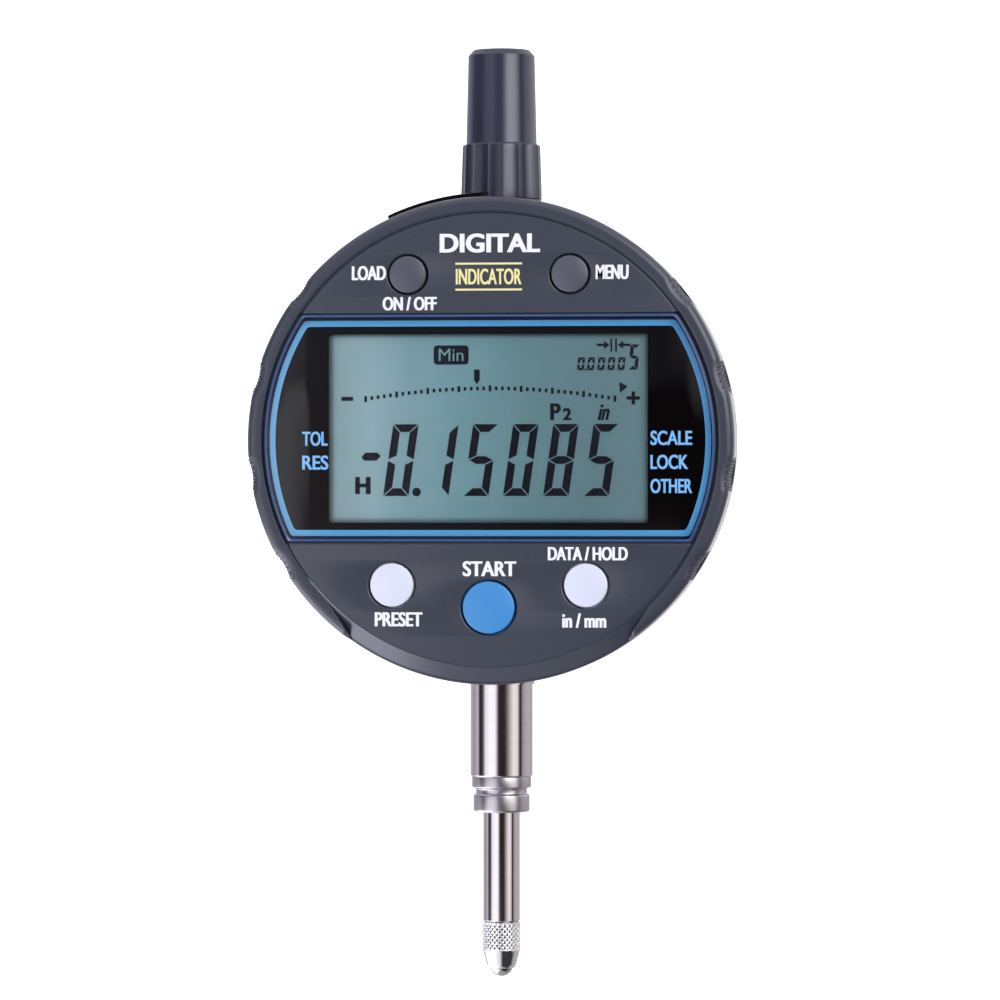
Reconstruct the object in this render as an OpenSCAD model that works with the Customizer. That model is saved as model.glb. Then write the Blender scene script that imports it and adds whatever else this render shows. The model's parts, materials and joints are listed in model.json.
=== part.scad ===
// Plunger indicator with a rotating digital display, stem mounting and a lug back.
// Millimetres. The origin is on the stem axis, half way along the stem's 8 mm clamping length.
// +Z points up the spindle, -Y is the side of the display.

/* [Display unit] */
// Outside diameter of the display unit
dial_d = 61.3; // [61:0.1:61.6]
// Height of the display centre above the origin
dial_z = 36.9; // [36.9:0.1:38]
// Distance of the front panel in front of the stem axis
panel_h = 15.5; // [15.5:0.1:16]
// Thickness of the front panel
panel_t = 1.3; // [1.2:0.1:1.3]
// Diameter of the flat panel inside its groove
panel_d = 56.2; // [56:0.1:56.4]
// Inside diameter of the raised rim around the panel
rim_in_d = 57.3; // [57.1:0.1:57.5]
// Depth that the lower bevel falls below the panel
bevel_drop = 2; // [1.5:0.1:2]
// Side wall thickness of the display unit
unit_wall = 1.9; // [1.7:0.1:2]

/* [Window] */
// Top edge of the window above the display centre
window_top = 15.85; // [15.5:0.05:16]
// Bottom edge of the window below the display centre
window_bottom = 12.75; // [12.5:0.05:13]
// Diameter that cuts the left and right ends of the window
window_d = 56.9; // [56.6:0.1:57]
// Width of the liquid crystal glass
lcd_w = 44.8; // [44:0.1:44.8]
// Height of the liquid crystal glass
lcd_tall = 26; // [25.6:0.1:26]

/* [Buttons] */
// Cap diameter of the two small upper buttons
small_button_d = 4.6; // [4.2:0.1:4.8]
// Cap diameter of the two lower side buttons
side_button_d = 5.44; // [5:0.02:5.5]
// Cap diameter of the central start button
start_button_d = 6.5; // [6:0.1:6.6]
// Distance that a button moves when it is pressed
button_travel = 0.4; // [0.3:0.05:0.4]

/* [Case] */
// Outside diameter of the rear case
case_d = 58; // [58:0.5:59]
// Depth of the rear case behind the stem axis
case_back = 8.5; // [8.5:0.1:9]
// Side wall thickness of the rear case
case_wall = 2; // [1.8:0.1:2]
// Thickness of the back plate
back_t = 2; // [2:0.1:2.5]

/* [Lug] */
// Diameter of the hole in the lug
lug_hole_d = 6.5; // [6:0.5:6.5]
// Thickness of the lug
lug_t = 5; // [4:0.5:6]
// Distance of the lug hole behind the stem axis
lug_y = 18; // [18:0.5:20]

/* [Stem and spindle] */
// Diameter of the clamping stem
stem_d = 8; // [8:0.1:8.2]
// Clamping length of the stem
stem_len = 11.8; // [11.8:0.1:12]
// Diameter of the spindle
spindle_d = 4.7; // [4.5:0.1:4.8]
// Travel of the spindle
travel = 12.7; // [10:0.1:12.7]
// Diameter of the ball that touches the work
ball_d = 3; // [2.8:0.1:3]

/* [Spindle cap] */
// Diameter of the cap at its top
cap_top_d = 8.5; // [8.3:0.1:8.6]
// Diameter of the fluted skirt at its bottom
skirt_d = 10.5; // [10.3:0.1:10.5]
// Number of flutes around the skirt
flutes = 16; // [12:2:16]

/* [Battery] */
// Diameter of the button cell
cell_d = 11.6; // [11.4:0.1:11.6]
// Thickness of the button cell
cell_t = 5.4; // [5:0.1:5.4]
// Angle of the battery drawer around the display, from the right
drawer_angle = 102.7; // [102:0.1:106]

/* [Hidden] */

$fn = 96;
eps = 0.01;
fine_gap = 0.05;
run_gap = 0.03;

// Colours
c_case = [0.27, 0.28, 0.33];
c_dark = [0.06, 0.06, 0.07];
c_steel = [0.78, 0.77, 0.76];
c_brass = [0.80, 0.66, 0.35];
c_board = [0.08, 0.36, 0.22];
c_chip = [0.10, 0.10, 0.11];
c_rubber = [0.16, 0.16, 0.17];
c_white = [0.88, 0.90, 0.96];
c_blue = [0.28, 0.58, 0.84];
c_lcd = [0.52, 0.64, 0.62];
c_gold = [0.85, 0.68, 0.25];
c_lens = [0.8, 0.85, 0.9, 0.35];
c_strip = [0.75, 0.35, 0.45];
c_ribbon = [0.78, 0.45, 0.12];
c_carbide = [0.55, 0.56, 0.58];
c_aluminium = [0.7, 0.72, 0.75];
c_scale = [0.75, 0.85, 0.8];

// Display unit: heights are measured forward from the stem axis
dial_r = dial_d / 2;
unit_back = 6.4;
plate_t = 1;
panel_back = panel_h - panel_t;
panel_r = panel_d / 2;
rim_in_r = rim_in_d / 2;
rim_h = panel_h - 0.2;
unit_in_r = dial_r - unit_wall;
bevel_h = panel_h - bevel_drop;
scallop_angles = [38, 15.2, -8, -31];
scallop_r = 6.5;
scallop_deep = 0.5;
scallop_low = 8.6;
rim_edge = 0.2;
rim_round = 1;
crescent = [[-25, -13], [-12.9, -31.8], [12.9, -31.8], [25, -13]];
post_angles = [41, 131, 222, 318];
post_pitch_r = 26;
post_r = 1.5;
unit_screw_r = 0.6;
unit_head_r = 1.25;
unit_head_h = 0.5;
screw_slot = 0.15;
screw_slot_share = 0.65;

// Window and liquid crystal stack
lens_r = window_d / 2 - 0.1;
lens_seat = panel_h - 1;
mask_t = 0.1;
lens_front = panel_h + 0.25;
lcd_mid = 1.05;
lcd_gap = 0.2;
view_low = [-19.9, -10.4];
view_size = [39.8, 23.8];
reflector_half = 10.5;
reflector_inset = 1;
lcd_front = lens_seat - fine_gap;
lcd_glass_t = 0.55;
lcd_ledge = 2.35;
board_front = 12;
board_t = 0.8;
board_back = board_front - board_t;
holder_rim = 1.2;
holder_floor = 13;
holder_gap = 0.1;
strip_w = 1.6;
strip_len = 42;
strip_inset = 1.2;

// Parts on the main board
main_chip_at = [10, -7];
main_chip_size = [10, 9];
main_chip_low = 9.95;
crystal_at = [-6, -11];
crystal_r = 1;
crystal_len = 6;
capacitor_half = [0.8, 0.5];
capacitor_t = 0.9;
capacitor_places = [[-14, -3], [-14, 0], [-14, 3], [-10, 8], [-7, 8]];
ribbon_socket_half = [2.4, 1.5];
ribbon_socket_low = 9.9;

// Buttons: name order is power, menu, preset, start, hold
power_at = [-10.2, 20.8];
menu_at = [10.2, 20.8];
preset_at = [-12.2, -18.1];
start_at = [0, -20.9];
hold_at = [12.2, -18.1];
button_gap = 0.25;
flange_w = 0.55;
flange_t = 0.43;
crown = 0.3;
button_rise = 0.55;
plunger_r = 1.4;
upper_rest = 13.7;
lower_rest = 13;
pad_gap = 0.02;
pad_t = 0.35;
upper_pad_front = upper_rest - button_travel - pad_gap;
lower_pad_front = lower_rest - button_travel - pad_gap;
upper_pad_low = 16.8;
upper_pad_half = 15.2;
switch_board_back = 12.55;
lower_pad_high = -14.2;

// Battery drawer, along its own radius
cell_r = cell_d / 2;
cell_at = 22.6;
drawer_in = 16.2;
drawer_half = 6.5;
drawer_low = unit_back + 0.05;
drawer_high = 12.3;
cell_low = 6.8;
cover_in = 29.2;
cover_r = dial_r + 0.65;
cover_half = 6.6;
bay_half = 6.65;
seal_in = 28.6;
seal_deep = 0.4;
board_notch_in = 15.7;
contact_half = 1.5;
contact_top = 12.5;
contact_out = 24;
contact_t = 0.3;
side_contact = [17, 27];
side_contact_low = 7.6;
side_contact_t = 0.2;

// Data port
port_angle = 66;
port_half = 4.8;
port_low = 7.9;
port_high = 11.1;
port_in = 22.6;
port_out = 28.4;
port_gap = 0.1;
slot_in = 24;
pin_rows = [-2:2];
pin_pitch = 1.5;
pin_half = 0.2;
pin_len = 0.6;
plug_in = 25;
plug_gap = 0.15;
slot_half = 3.9;
slot_low = 8.7;
slot_high = 10.4;

// Rear case
case_r = case_d / 2;
case_front = 6.2;
front_wall_back = 5.2;
case_in_r = case_r - case_wall;
spigot_r = 13.5;
spigot_in_r = 11.5;
spigot_h = 8.2;
hub_gap = 0.08;
ribbon_hole_r = 5;
back_angles = [45, 135, 225, 315];
back_pitch_r = 23.4;
back_post_r = 2.3;
back_screw_r = 0.95;
back_head_r = 1.8;
back_head_h = 1.1;
back_recess = 1.2;
back_edge = 0.6;
back_seal_low = 0.4;
back_seal_high = 0.9;
back_seal_w = 0.6;
post_top = case_front - 0.5;
block_back = -5;
block_half = 11;
top_block_left = -5.5;
top_block_v = 26;
lip_out_r = case_in_r - fine_gap;
lip_in_r = lip_out_r - 1.15;
lip_h = 1.2;
lug_r = 6;
lug_base = 9;

// Rotation stop: the pin stands on the retaining ring and meets an arm of the display back
ring_t = 0.45;
ring_top = spigot_h + ring_t;
ring_r = 15.5;
ring_in_r = 11;
ring_screw_angles = [0, 120, 240];
ring_screw_at = 12.5;
ring_screw_r = 0.5;
ring_head_h = 0.2;
pin_angle = 60;
pin_at_r = 13.4;
pin_r = 0.8;
arm_angle = -45;
arm_half = 2.6;
arm_low = 8.95;
arm_high = 9.75;
arm_foot_in = 16.4;
arm_in = 12.5;
arm_out = 18;
washer_r = 17;
washer_in_r = 14;
washer_gap = 0.02;

// Ribbon cable
ribbon_low = 7;
ribbon_w = 1.8;
ribbon_half_t = 0.08;
ribbon_in_r = 3.4;
ribbon_out_r = 9;
ribbon_turns = 2;
ribbon_steps = 48;
ribbon_tail_low = 4.75;
ribbon_tail_w = 1.2;

// Heights along the stem axis, measured from the display centre
shoulder_v = -dial_z - stem_len / 2;
boss_low_v = -dial_z + stem_len / 2;
boss_r = 6;
boss_step = 1.1;
flange_neck_r = 4.25;
flange_r = 4.7;
flange_top_v = -24.5;
bridge_low_v = -26.5;
bridge_top_v = -22;
stem_r = stem_d / 2;
stem_bore_r = 3;
spindle_r = spindle_d / 2;
bush_ring_r = 3.8;
bush_ring_h = 1.5;
bush_neck_r = 3.25;
bush_neck_h = 0.85;
bush_end_r = 3.6;
bush_end_v = shoulder_v - 4.6;
contact_top_v = -61.4;
knurl_low_v = -65.1;
knurl_r = 2.42;
ball_v = -67;
holder_end_v = -67.4;
holder_end_r = 1.64;
stud_r = 1.2;
stud_h = 4.5;
cap_roof_v = 49;
spindle_top_v = cap_roof_v - travel - 1.8;
collar_low_v = -22.95;
collar_h = 3.4;
collar_r = 3.8;
collar_bore_r = 4.2;
top_bridge_v = 22;
top_boss_v = 31;
top_boss_r = 5.1;
bush_r = 3.4;
nipple_seat_v = 29.5;
nipple_r = 3.8;
nipple_foot_r = 4.3;
nipple_top_v = 35;
nipple_bore_r = 2.85;
groove_low_v = 32.8;
groove_top_v = 33.4;
groove_deep = 0.4;
bush_in_v = shoulder_v + 6;
wiper_r = 2.95;
wiper_low_v = bush_end_v + 0.8;
wiper_top_v = bush_end_v + 1.8;
bumper_gap = 0.3;

// Measuring unit
rod_x = 8.5;
rod_h = -1.5;
rod_r = 1;
spring_x = -7;
spring_h = -2;
spring_r = 1.85;
spring_in_r = 1.35;
spring_low_v = -20.9;
spring_top_v = -3.9;
hook_r = 1.1;
hook_neck_r = 0.7;
hook_foot_v = -2;
carrier_half = 5;
carrier_front = 2.75;
carrier_back = -3.6;
scale_front = 3.85;
sensor_back = 4.1;
sensor_front = 4.7;
sensor_screws = [[-9.5, -13], [9.5, -13], [-9.5, 19], [9.5, 19]];
sensor_low = [-11, -15];
sensor_high = [11, 21];
sensor_chip_at = [7, -9];
sensor_chip_size = [4.6, 4];
sensor_chip_back = 3.05;
sensor_socket_half = [2.4, 1.4];
sensor_socket_front = 5.8;
sensor_screw_r = 0.55;
sensor_head_r = 1.2;
sensor_head_h = 0.6;
sensor_screw_end = 5.85;
sensor_post_r = 1.5;
carrier_w = 4.6;
wing_half = 3;
right_wing = [10.4, -3.2, 0.5];
left_wing = [-8.8, -3.6, -0.4];
carrier_screw_v = 2.5;
carrier_screw_r = 0.7;
carrier_head_r = 1.3;
carrier_head_h = 0.8;
scale_half = 3.8;
scale_low = -16;
scale_high = 9;
pin_neck = 1.4;
pin_head = 0.5;

// Spindle cap
cap_low_v = top_boss_v + fine_gap;
skirt_top_v = 38.1;
cap_top_v = 50.2;
cap_mid_r = 4.5;
cap_in_r = 3;
skirt_top_r = 4.98;
flute_r = 3.5;
flute_deep = 0.2;

// Places children in the display's own frame: x right, y up, z forward
module dial() {
    translate([0, 0, dial_z]) rotate([90, 0, 0]) children();
}

// Places children on the stem axis, at a height above the display centre
module axis_at(v) {
    translate([0, 0, dial_z + v]) children();
}

// Turned ring or disc in the display frame
module disc(r, low, high, hole = 0) {
    translate([0, 0, low]) difference() {
        cylinder(r = r, h = high - low);
        if (hole > 0) translate([0, 0, -eps]) cylinder(r = hole, h = high - low + 2 * eps);
    }
}

// Box from one corner to the opposite one
module block(low, high) {
    translate(low) cube(high - low);
}

// Puts a copy of the children at each angle, turned to face outwards
module around(angles, r = 0) {
    for (a = angles) rotate(a) translate([r, 0, 0]) children();
}

// Moves the children to the battery drawer's radius
module drawer_frame() {
    dial() rotate(drawer_angle) children();
}

// Tube or rod along the stem axis
module rod(r, low, high, hole = 0) {
    axis_at(low) difference() {
        cylinder(r = r, h = high - low);
        if (hole > 0) translate([0, 0, -eps]) cylinder(r = hole, h = high - low + 2 * eps);
    }
}

// Outline of the window, cut by a circle at its two ends
module window_outline(r, margin = 0) {
    intersection() {
        circle(r = r);
        translate([-r, -window_bottom - margin])
            square([2 * r, window_top + window_bottom + 2 * margin]);
    }
}

// ---- Display unit ----

module front_shell() {
    rotate_extrude() polygon([
        [0, panel_h], [panel_r, panel_h], [dial_r, bevel_h], [dial_r, unit_back],
        [unit_in_r, unit_back], [unit_in_r, panel_back], [0, panel_back]
    ]);
}

module front_rim() {
    difference() {
        rotate_extrude() polygon(concat(
            [[dial_r, bevel_h - rim_edge], [rim_in_r, bevel_h - rim_edge]],
            [[rim_in_r, rim_h - rim_edge], [rim_in_r + rim_edge, rim_h]],
            [for (a = [90:-15:0])
                [dial_r - rim_round * (1 - cos(a)), rim_h - rim_round * (1 - sin(a))]]
        ));
        translate([0, 0, bevel_h - 1]) linear_extrude(panel_h) polygon(crescent);
    }
}

module scallops() {
    for (side = [0, 1]) mirror([side, 0, 0])
        around(scallop_angles, dial_r + scallop_r - scallop_deep)
            translate([0, 0, scallop_low]) cylinder(r = scallop_r, h = panel_h);
}

module button_hole(at, d) {
    translate([at.x, at.y, panel_back - 1])
        cylinder(r = d / 2 + button_gap, h = panel_t + 2);
}

module front_case() {
    color(c_case) dial() difference() {
        union() {
            front_shell();
            front_rim();
            around(post_angles, post_pitch_r)
                disc(post_r, unit_back + plate_t, panel_back + eps);
        }
        scallops();
        translate([0, 0, lens_seat]) linear_extrude(panel_h)
            window_outline(window_d / 2, fine_gap);
        block([-lcd_w / 2 - lcd_gap, lcd_mid - lcd_tall / 2 - lcd_gap, panel_back - 1],
              [lcd_w / 2 + lcd_gap, lcd_mid + lcd_tall / 2 + lcd_gap, panel_h]);
        button_hole(power_at, small_button_d);
        button_hole(menu_at, small_button_d);
        button_hole(preset_at, side_button_d);
        button_hole(start_at, start_button_d);
        button_hole(hold_at, side_button_d);
        around(post_angles, post_pitch_r) disc(unit_screw_r, unit_back, board_back);
        rotate(drawer_angle)
            block([drawer_in, -bay_half, unit_back - 1],
                  [cover_r + 1, bay_half, drawer_high + port_gap]);
        rotate(port_angle)
            block([port_in, -port_half - port_gap, port_low - port_gap],
                  [cover_r, port_half + port_gap, port_high + port_gap]);
    }
}

module window_lens() {
    color(c_lens) dial() translate([0, 0, lens_seat + mask_t])
        linear_extrude(lens_front - lens_seat - mask_t) window_outline(lens_r, -fine_gap);
}

module window_mask() {
    color(c_dark) dial() translate([0, 0, lens_seat]) linear_extrude(mask_t)
        difference() {
            window_outline(lens_r, -fine_gap);
            translate(view_low) square(view_size);
        }
}

module lcd_panel() {
    low = lcd_mid - lcd_tall / 2;
    high = lcd_mid + lcd_tall / 2;
    color(c_lcd) dial() {
        block([-lcd_w / 2, low, lcd_front - lcd_glass_t], [lcd_w / 2, high, lcd_front]);
        block([-lcd_w / 2, low + lcd_ledge, lcd_front - 2 * lcd_glass_t],
              [lcd_w / 2, high - lcd_ledge, lcd_front - lcd_glass_t]);
    }
}

module lcd_reflector() {
    high = lcd_front - 2 * lcd_glass_t - fine_gap;
    color(c_steel) dial()
        block([reflector_inset - lcd_w / 2, lcd_mid - reflector_half, holder_floor + fine_gap],
              [lcd_w / 2 - reflector_inset, lcd_mid + reflector_half, high]);
}

module strip_slots(gap) {
    for (side = [-1, 1]) translate([0, lcd_mid + side * (lcd_tall / 2 - strip_inset), 0])
        block([-strip_len / 2 - gap, -strip_w / 2 - gap, board_front - gap],
              [strip_len / 2 + gap, strip_w / 2 + gap, lcd_front - lcd_glass_t]);
}

module lcd_holder() {
    half_w = lcd_w / 2 + holder_rim;
    half_t = lcd_tall / 2 + holder_rim;
    color(c_white) dial() difference() {
        block([-half_w, lcd_mid - half_t, board_front + pad_gap],
              [half_w, lcd_mid + half_t, panel_back - fine_gap]);
        block([-lcd_w / 2 - holder_gap, lcd_mid - lcd_tall / 2 - holder_gap, holder_floor],
              [lcd_w / 2 + holder_gap, lcd_mid + lcd_tall / 2 + holder_gap, panel_h]);
        strip_slots(fine_gap);
        rotate(drawer_angle)
            block([board_notch_in - holder_gap, -bay_half - holder_gap, board_back],
                  [cover_r, bay_half + holder_gap, contact_top + fine_gap]);
    }
}

module zebra_strips() {
    color(c_strip) dial() strip_slots(0);
}

module main_board() {
    color(c_board) dial() difference() {
        disc(unit_in_r - 0.3, board_back, board_front);
        around(post_angles, post_pitch_r)
            disc(post_r + holder_gap, board_back - 1, board_front + 1);
        rotate(drawer_angle)
            block([board_notch_in, -bay_half - seal_deep, board_back - 1],
                  [cover_r, bay_half + seal_deep, board_front + 1]);
    }
}

// Square chip with legs on two sides, lying under a board
module chip(w, tall, low, high, legs, pitch) {
    block([-w / 2, -tall / 2, low], [w / 2, tall / 2, high - 0.15]);
    for (i = [0:legs - 1])
        block([(i - (legs - 1) / 2) * pitch - 0.2, -tall / 2 - 0.7, high - 0.3],
              [(i - (legs - 1) / 2) * pitch + 0.2, tall / 2 + 0.7, high]);
}

module main_chip() {
    color(c_chip) dial() translate([main_chip_at.x, main_chip_at.y, 0])
        chip(main_chip_size.x, main_chip_size.y, main_chip_low, board_back, 8, 1.1);
}

module crystal() {
    color(c_steel) dial()
        translate([crystal_at.x, crystal_at.y, board_back - crystal_r - fine_gap])
            rotate([0, 90, 0]) cylinder(r = crystal_r, h = crystal_len);
}

module capacitors() {
    color(c_gold) dial()
        for (at = capacitor_places) translate([at.x, at.y, board_back - capacitor_t])
            block(-[capacitor_half.x, capacitor_half.y, 0],
                  [capacitor_half.x, capacitor_half.y, capacitor_t]);
}

module ribbon_socket() {
    color(c_white) dial()
        block([-ribbon_socket_half.x, -ribbon_socket_half.y, ribbon_socket_low],
              [ribbon_socket_half.x, ribbon_socket_half.y, board_back]);
}

module pad_sheet(low, high, from_v, to_v, half) {
    translate([0, 0, low]) linear_extrude(high - low) difference() {
        intersection() {
            circle(r = unit_in_r - 1);
            translate([-half, from_v]) square([2 * half, to_v - from_v]);
        }
        around(post_angles, post_pitch_r) circle(r = post_r + 0.15);
    }
}

module upper_keypad() {
    color(c_rubber) dial()
        pad_sheet(upper_pad_front - pad_t, upper_pad_front, upper_pad_low, dial_r, upper_pad_half);
}

module switch_board() {
    color(c_board) dial()
        pad_sheet(switch_board_back, upper_pad_front - pad_t, upper_pad_low, dial_r, upper_pad_half);
}

module lower_keypad() {
    color(c_rubber) dial()
        pad_sheet(board_front, lower_pad_front, -dial_r, lower_pad_high, dial_r);
}

module display_back() {
    color(c_dark) dial() difference() {
        union() {
            disc(unit_in_r - 0.1, unit_back, unit_back + plate_t);
            rotate(arm_angle) {
                block([arm_foot_in, -arm_half, unit_back + plate_t / 2],
                      [arm_out, arm_half, arm_high]);
                block([arm_in, -arm_half, arm_low], [arm_out, arm_half, arm_high]);
            }
        }
        disc(spigot_r + hub_gap, unit_back - 1, unit_back + plate_t + 0.5);
        around(post_angles, post_pitch_r) {
            disc(unit_screw_r + 0.1, unit_back - 1, unit_back + 2);
            disc(unit_head_r + 0.1, unit_back - 1, unit_back + unit_head_h + 0.1);
        }
        rotate(drawer_angle)
            block([drawer_in - 0.1, -bay_half, unit_back - 1], [cover_r, bay_half, unit_back + 2]);
    }
}

// Pan-head screw with its head below and its point above, in the display frame
module screw(head_r, head_h, shank_r, low, high) {
    difference() {
        union() {
            disc(head_r, low, low + head_h);
            disc(shank_r, low + head_h - eps, high);
        }
        for (turn = [0, 90]) rotate(turn)
            block([-head_r * screw_slot_share, -screw_slot, low - 1],
                  [head_r * screw_slot_share, screw_slot, low + head_h / 2]);
    }
}

module display_screws() {
    color(c_steel) dial() around(post_angles, post_pitch_r)
        screw(unit_head_r, unit_head_h, unit_screw_r, unit_back + 0.1, board_back - 0.2);
}

module battery_contacts() {
    color(c_brass) drawer_frame() {
        block([board_notch_in + pad_gap, -contact_half, drawer_high + fine_gap],
              [contact_out, contact_half, contact_top]);
        block([board_notch_in + pad_gap, -contact_half, board_back],
              [board_notch_in + contact_t, contact_half, contact_top]);
        block([side_contact[0], bay_half + holder_gap, side_contact_low],
              [side_contact[1], bay_half + holder_gap + side_contact_t, board_back]);
    }
}

module data_port() {
    color(c_dark) dial() rotate(port_angle) {
        difference() {
            block([port_in, -port_half, port_low], [port_out, port_half, port_high]);
            block([slot_in, -slot_half, slot_low], [port_out + 1, slot_half, slot_high]);
        }
        for (i = pin_rows) translate([slot_in, i * pin_pitch, 0])
            block([-eps, -pin_half, slot_low - eps], [pin_len, pin_half, slot_high + eps]);
    }
}

// ---- Buttons ----

// Button with a flange behind the panel and a slightly domed cap
module button(at, d, rest) {
    r = d / 2;
    dome_r = (r * r + crown * crown) / (2 * crown);
    top = panel_h + button_rise;
    dial() translate([at.x, at.y, 0]) {
        disc(plunger_r, rest, panel_back - flange_t);
        disc(r + flange_w, panel_back - flange_t - fine_gap, panel_back - fine_gap);
        intersection() {
            disc(r, panel_back - 0.2, top);
            translate([0, 0, top - dome_r]) sphere(r = dome_r, $fn = 180);
        }
    }
}

module power_button() {
    color(c_case) button(power_at, small_button_d, upper_rest);
}

module menu_button() {
    color(c_case) button(menu_at, small_button_d, upper_rest);
}

module preset_button() {
    color(c_white) button(preset_at, side_button_d, lower_rest);
}

module start_button() {
    color(c_blue) button(start_at, start_button_d, lower_rest);
}

module hold_button() {
    color(c_white) button(hold_at, side_button_d, lower_rest);
}

// ---- Battery drawer and port cap ----

module battery_drawer() {
    color(c_dark) drawer_frame() {
        difference() {
            block([drawer_in, -drawer_half, drawer_low], [cover_in + 0.3, drawer_half, drawer_high]);
            translate([cell_at, 0, 0]) disc(cell_r + fine_gap, cell_low, drawer_high + 1);
            difference() {
                block([seal_in, -bay_half, 0], [cover_in, bay_half, panel_h]);
                block([0, -drawer_half + seal_deep, drawer_low + seal_deep],
                      [cover_r, drawer_half - seal_deep, drawer_high - seal_deep]);
            }
        }
        intersection() {
            disc(cover_r, drawer_low, drawer_high);
            block([cover_in, -cover_half, 0], [cover_r, cover_half, panel_h]);
        }
    }
}

module battery() {
    color(c_steel) drawer_frame() translate([cell_at, 0, 0]) {
        disc(cell_r, cell_low, cell_low + cell_t - 0.6);
        disc(cell_r - 1, cell_low + cell_t - 0.7, cell_low + cell_t);
    }
}

module drawer_seal() {
    color(c_rubber) drawer_frame() difference() {
        block([seal_in, -drawer_half, drawer_low], [cover_in, drawer_half, drawer_high]);
        block([0, -drawer_half + seal_deep, drawer_low + seal_deep],
              [cover_r, drawer_half - seal_deep, drawer_high - seal_deep]);
    }
}

module port_cap() {
    color(c_dark) dial() rotate(port_angle) {
        intersection() {
            disc(dial_r - 0.1, port_low, port_high);
            block([port_out + fine_gap, -port_half, 0], [dial_r, port_half, panel_h]);
        }
        block([plug_in, plug_gap - slot_half, slot_low + plug_gap],
              [port_out + 0.5, slot_half - plug_gap, slot_high - plug_gap]);
    }
}

// ---- Rear case ----

module case_posts() {
    around(back_angles, back_pitch_r) disc(back_post_r, -case_back, post_top);
    for (at = sensor_screws) translate([at.x, at.y, 0])
        disc(sensor_post_r, sensor_front, post_top);
}

module case_blocks() {
    intersection() {
        disc(case_in_r + 0.5, -case_back, case_front);
        union() {
            block([-block_half, bridge_low_v, block_back], [block_half, bridge_top_v, post_top]);
            block([top_block_left, top_bridge_v, block_back], [block_half, top_block_v, post_top]);
        }
    }
}

module rear_case() {
    color(c_case) difference() {
        union() {
            dial() {
                difference() {
                    disc(case_r, -case_back, case_front);
                    disc(case_in_r, -case_back - 1, front_wall_back);
                    disc(ribbon_hole_r, 0, case_front + 1);
                }
                disc(spigot_r, front_wall_back + 0.5, spigot_h, spigot_in_r);
                case_posts();
                case_blocks();
            }
            rod(boss_r, boss_low_v + boss_step, bridge_top_v);
            rod(top_boss_r, top_bridge_v, top_boss_v);
        }
        rod(flange_r, boss_low_v, flange_top_v);
        rod(collar_bore_r, flange_top_v - 1, bridge_top_v + 1);
        rod(bush_r, top_bridge_v - 1, top_boss_v);
        rod(nipple_foot_r, nipple_seat_v, top_boss_v + 1);
        translate([rod_x, -rod_h, 0]) {
            rod(rod_r, bridge_top_v - 3, bridge_top_v + 1);
            rod(rod_r, top_bridge_v - 1, top_bridge_v + 2.5);
        }
        translate([spring_x, -spring_h, 0]) rod(hook_r, bridge_top_v - 2.5, bridge_top_v + 1);
        dial() {
            around(back_angles, back_pitch_r) disc(back_screw_r, -case_back - 1, -2);
            for (at = sensor_screws) translate([at.x, at.y, 0])
                disc(sensor_screw_r, sensor_back, sensor_screw_end + fine_gap);
            around(ring_screw_angles, ring_screw_at)
                disc(ring_screw_r, case_front + 0.3, spigot_h + 1);
        }
    }
}

// Mounting lug: a flat plate with a round end and a cross hole
module lug() {
    translate([-lug_t / 2, 0, dial_z]) rotate([90, 0, 90]) difference() {
        linear_extrude(lug_t) union() {
            polygon([
                [case_back + 0.5, -lug_base], [case_back + 0.5, lug_base],
                [lug_y, lug_r - 0.3], [lug_y, 0.3 - lug_r]
            ]);
            translate([lug_y, 0]) circle(r = lug_r);
        }
        translate([lug_y, 0, -1]) cylinder(r = lug_hole_d / 2, h = lug_t + 2);
    }
}

module lug_back() {
    back = -case_back - back_t;
    color(c_dark) {
        dial() difference() {
            union() {
                rotate_extrude() polygon([
                    [0, back], [case_r - back_edge, back], [case_r, back + back_edge],
                    [case_r, -case_back], [0, -case_back]
                ]);
                disc(lip_out_r, -case_back - eps, -case_back + lip_h, lip_in_r);
            }
            difference() {
                disc(case_r, back_seal_low - case_back, back_seal_high - case_back);
                disc(lip_out_r - back_seal_w, -case_back, -case_back + lip_h);
            }
            around(back_angles, back_pitch_r) {
                disc(back_screw_r + 0.1, back - 1, 0);
                disc(back_head_r + 0.1, back - 1, back + back_recess);
            }
        }
        lug();
    }
}

module back_screws() {
    color(c_steel) dial() around(back_angles, back_pitch_r)
        screw(back_head_r, back_head_h, back_screw_r, 0.1 - case_back - back_t, -2.5);
}

module back_seal() {
    color(c_rubber) dial()
        disc(lip_out_r, back_seal_low - case_back, back_seal_high - case_back,
             lip_out_r - back_seal_w);
}

module retaining_ring() {
    color(c_steel) dial() difference() {
        disc(ring_r, spigot_h, ring_top, ring_in_r);
        around(ring_screw_angles, ring_screw_at) disc(ring_screw_r, spigot_h - 1, spigot_h + 1);
        rotate(pin_angle) translate([pin_at_r, 0, 0]) disc(pin_r, spigot_h - 1, spigot_h + 1);
    }
}

module retaining_screws() {
    color(c_steel) dial() around(ring_screw_angles, ring_screw_at)
        translate([0, 0, ring_top + ring_head_h])
            mirror([0, 0, 1]) screw(0.95, ring_head_h, ring_screw_r, 0, 1.8);
}

module stop_pin() {
    color(c_steel) dial() rotate(pin_angle) translate([pin_at_r, 0, 0])
        disc(pin_r, spigot_h, arm_high - 0.2);
}

module drag_washer() {
    color(c_white) dial()
        disc(washer_r, case_front + washer_gap, unit_back - washer_gap, washer_in_r);
}

// Flat ribbon wound as a spiral, with a tail that passes back through the case wall
function spiral(side) = [
    for (i = [0:ribbon_steps])
        let (
            t = i / ribbon_steps,
            a = 360 * ribbon_turns * t,
            r = ribbon_in_r + (ribbon_out_r - ribbon_in_r) * t + side
        )
        [r * cos(a), r * sin(a)]
];

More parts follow.
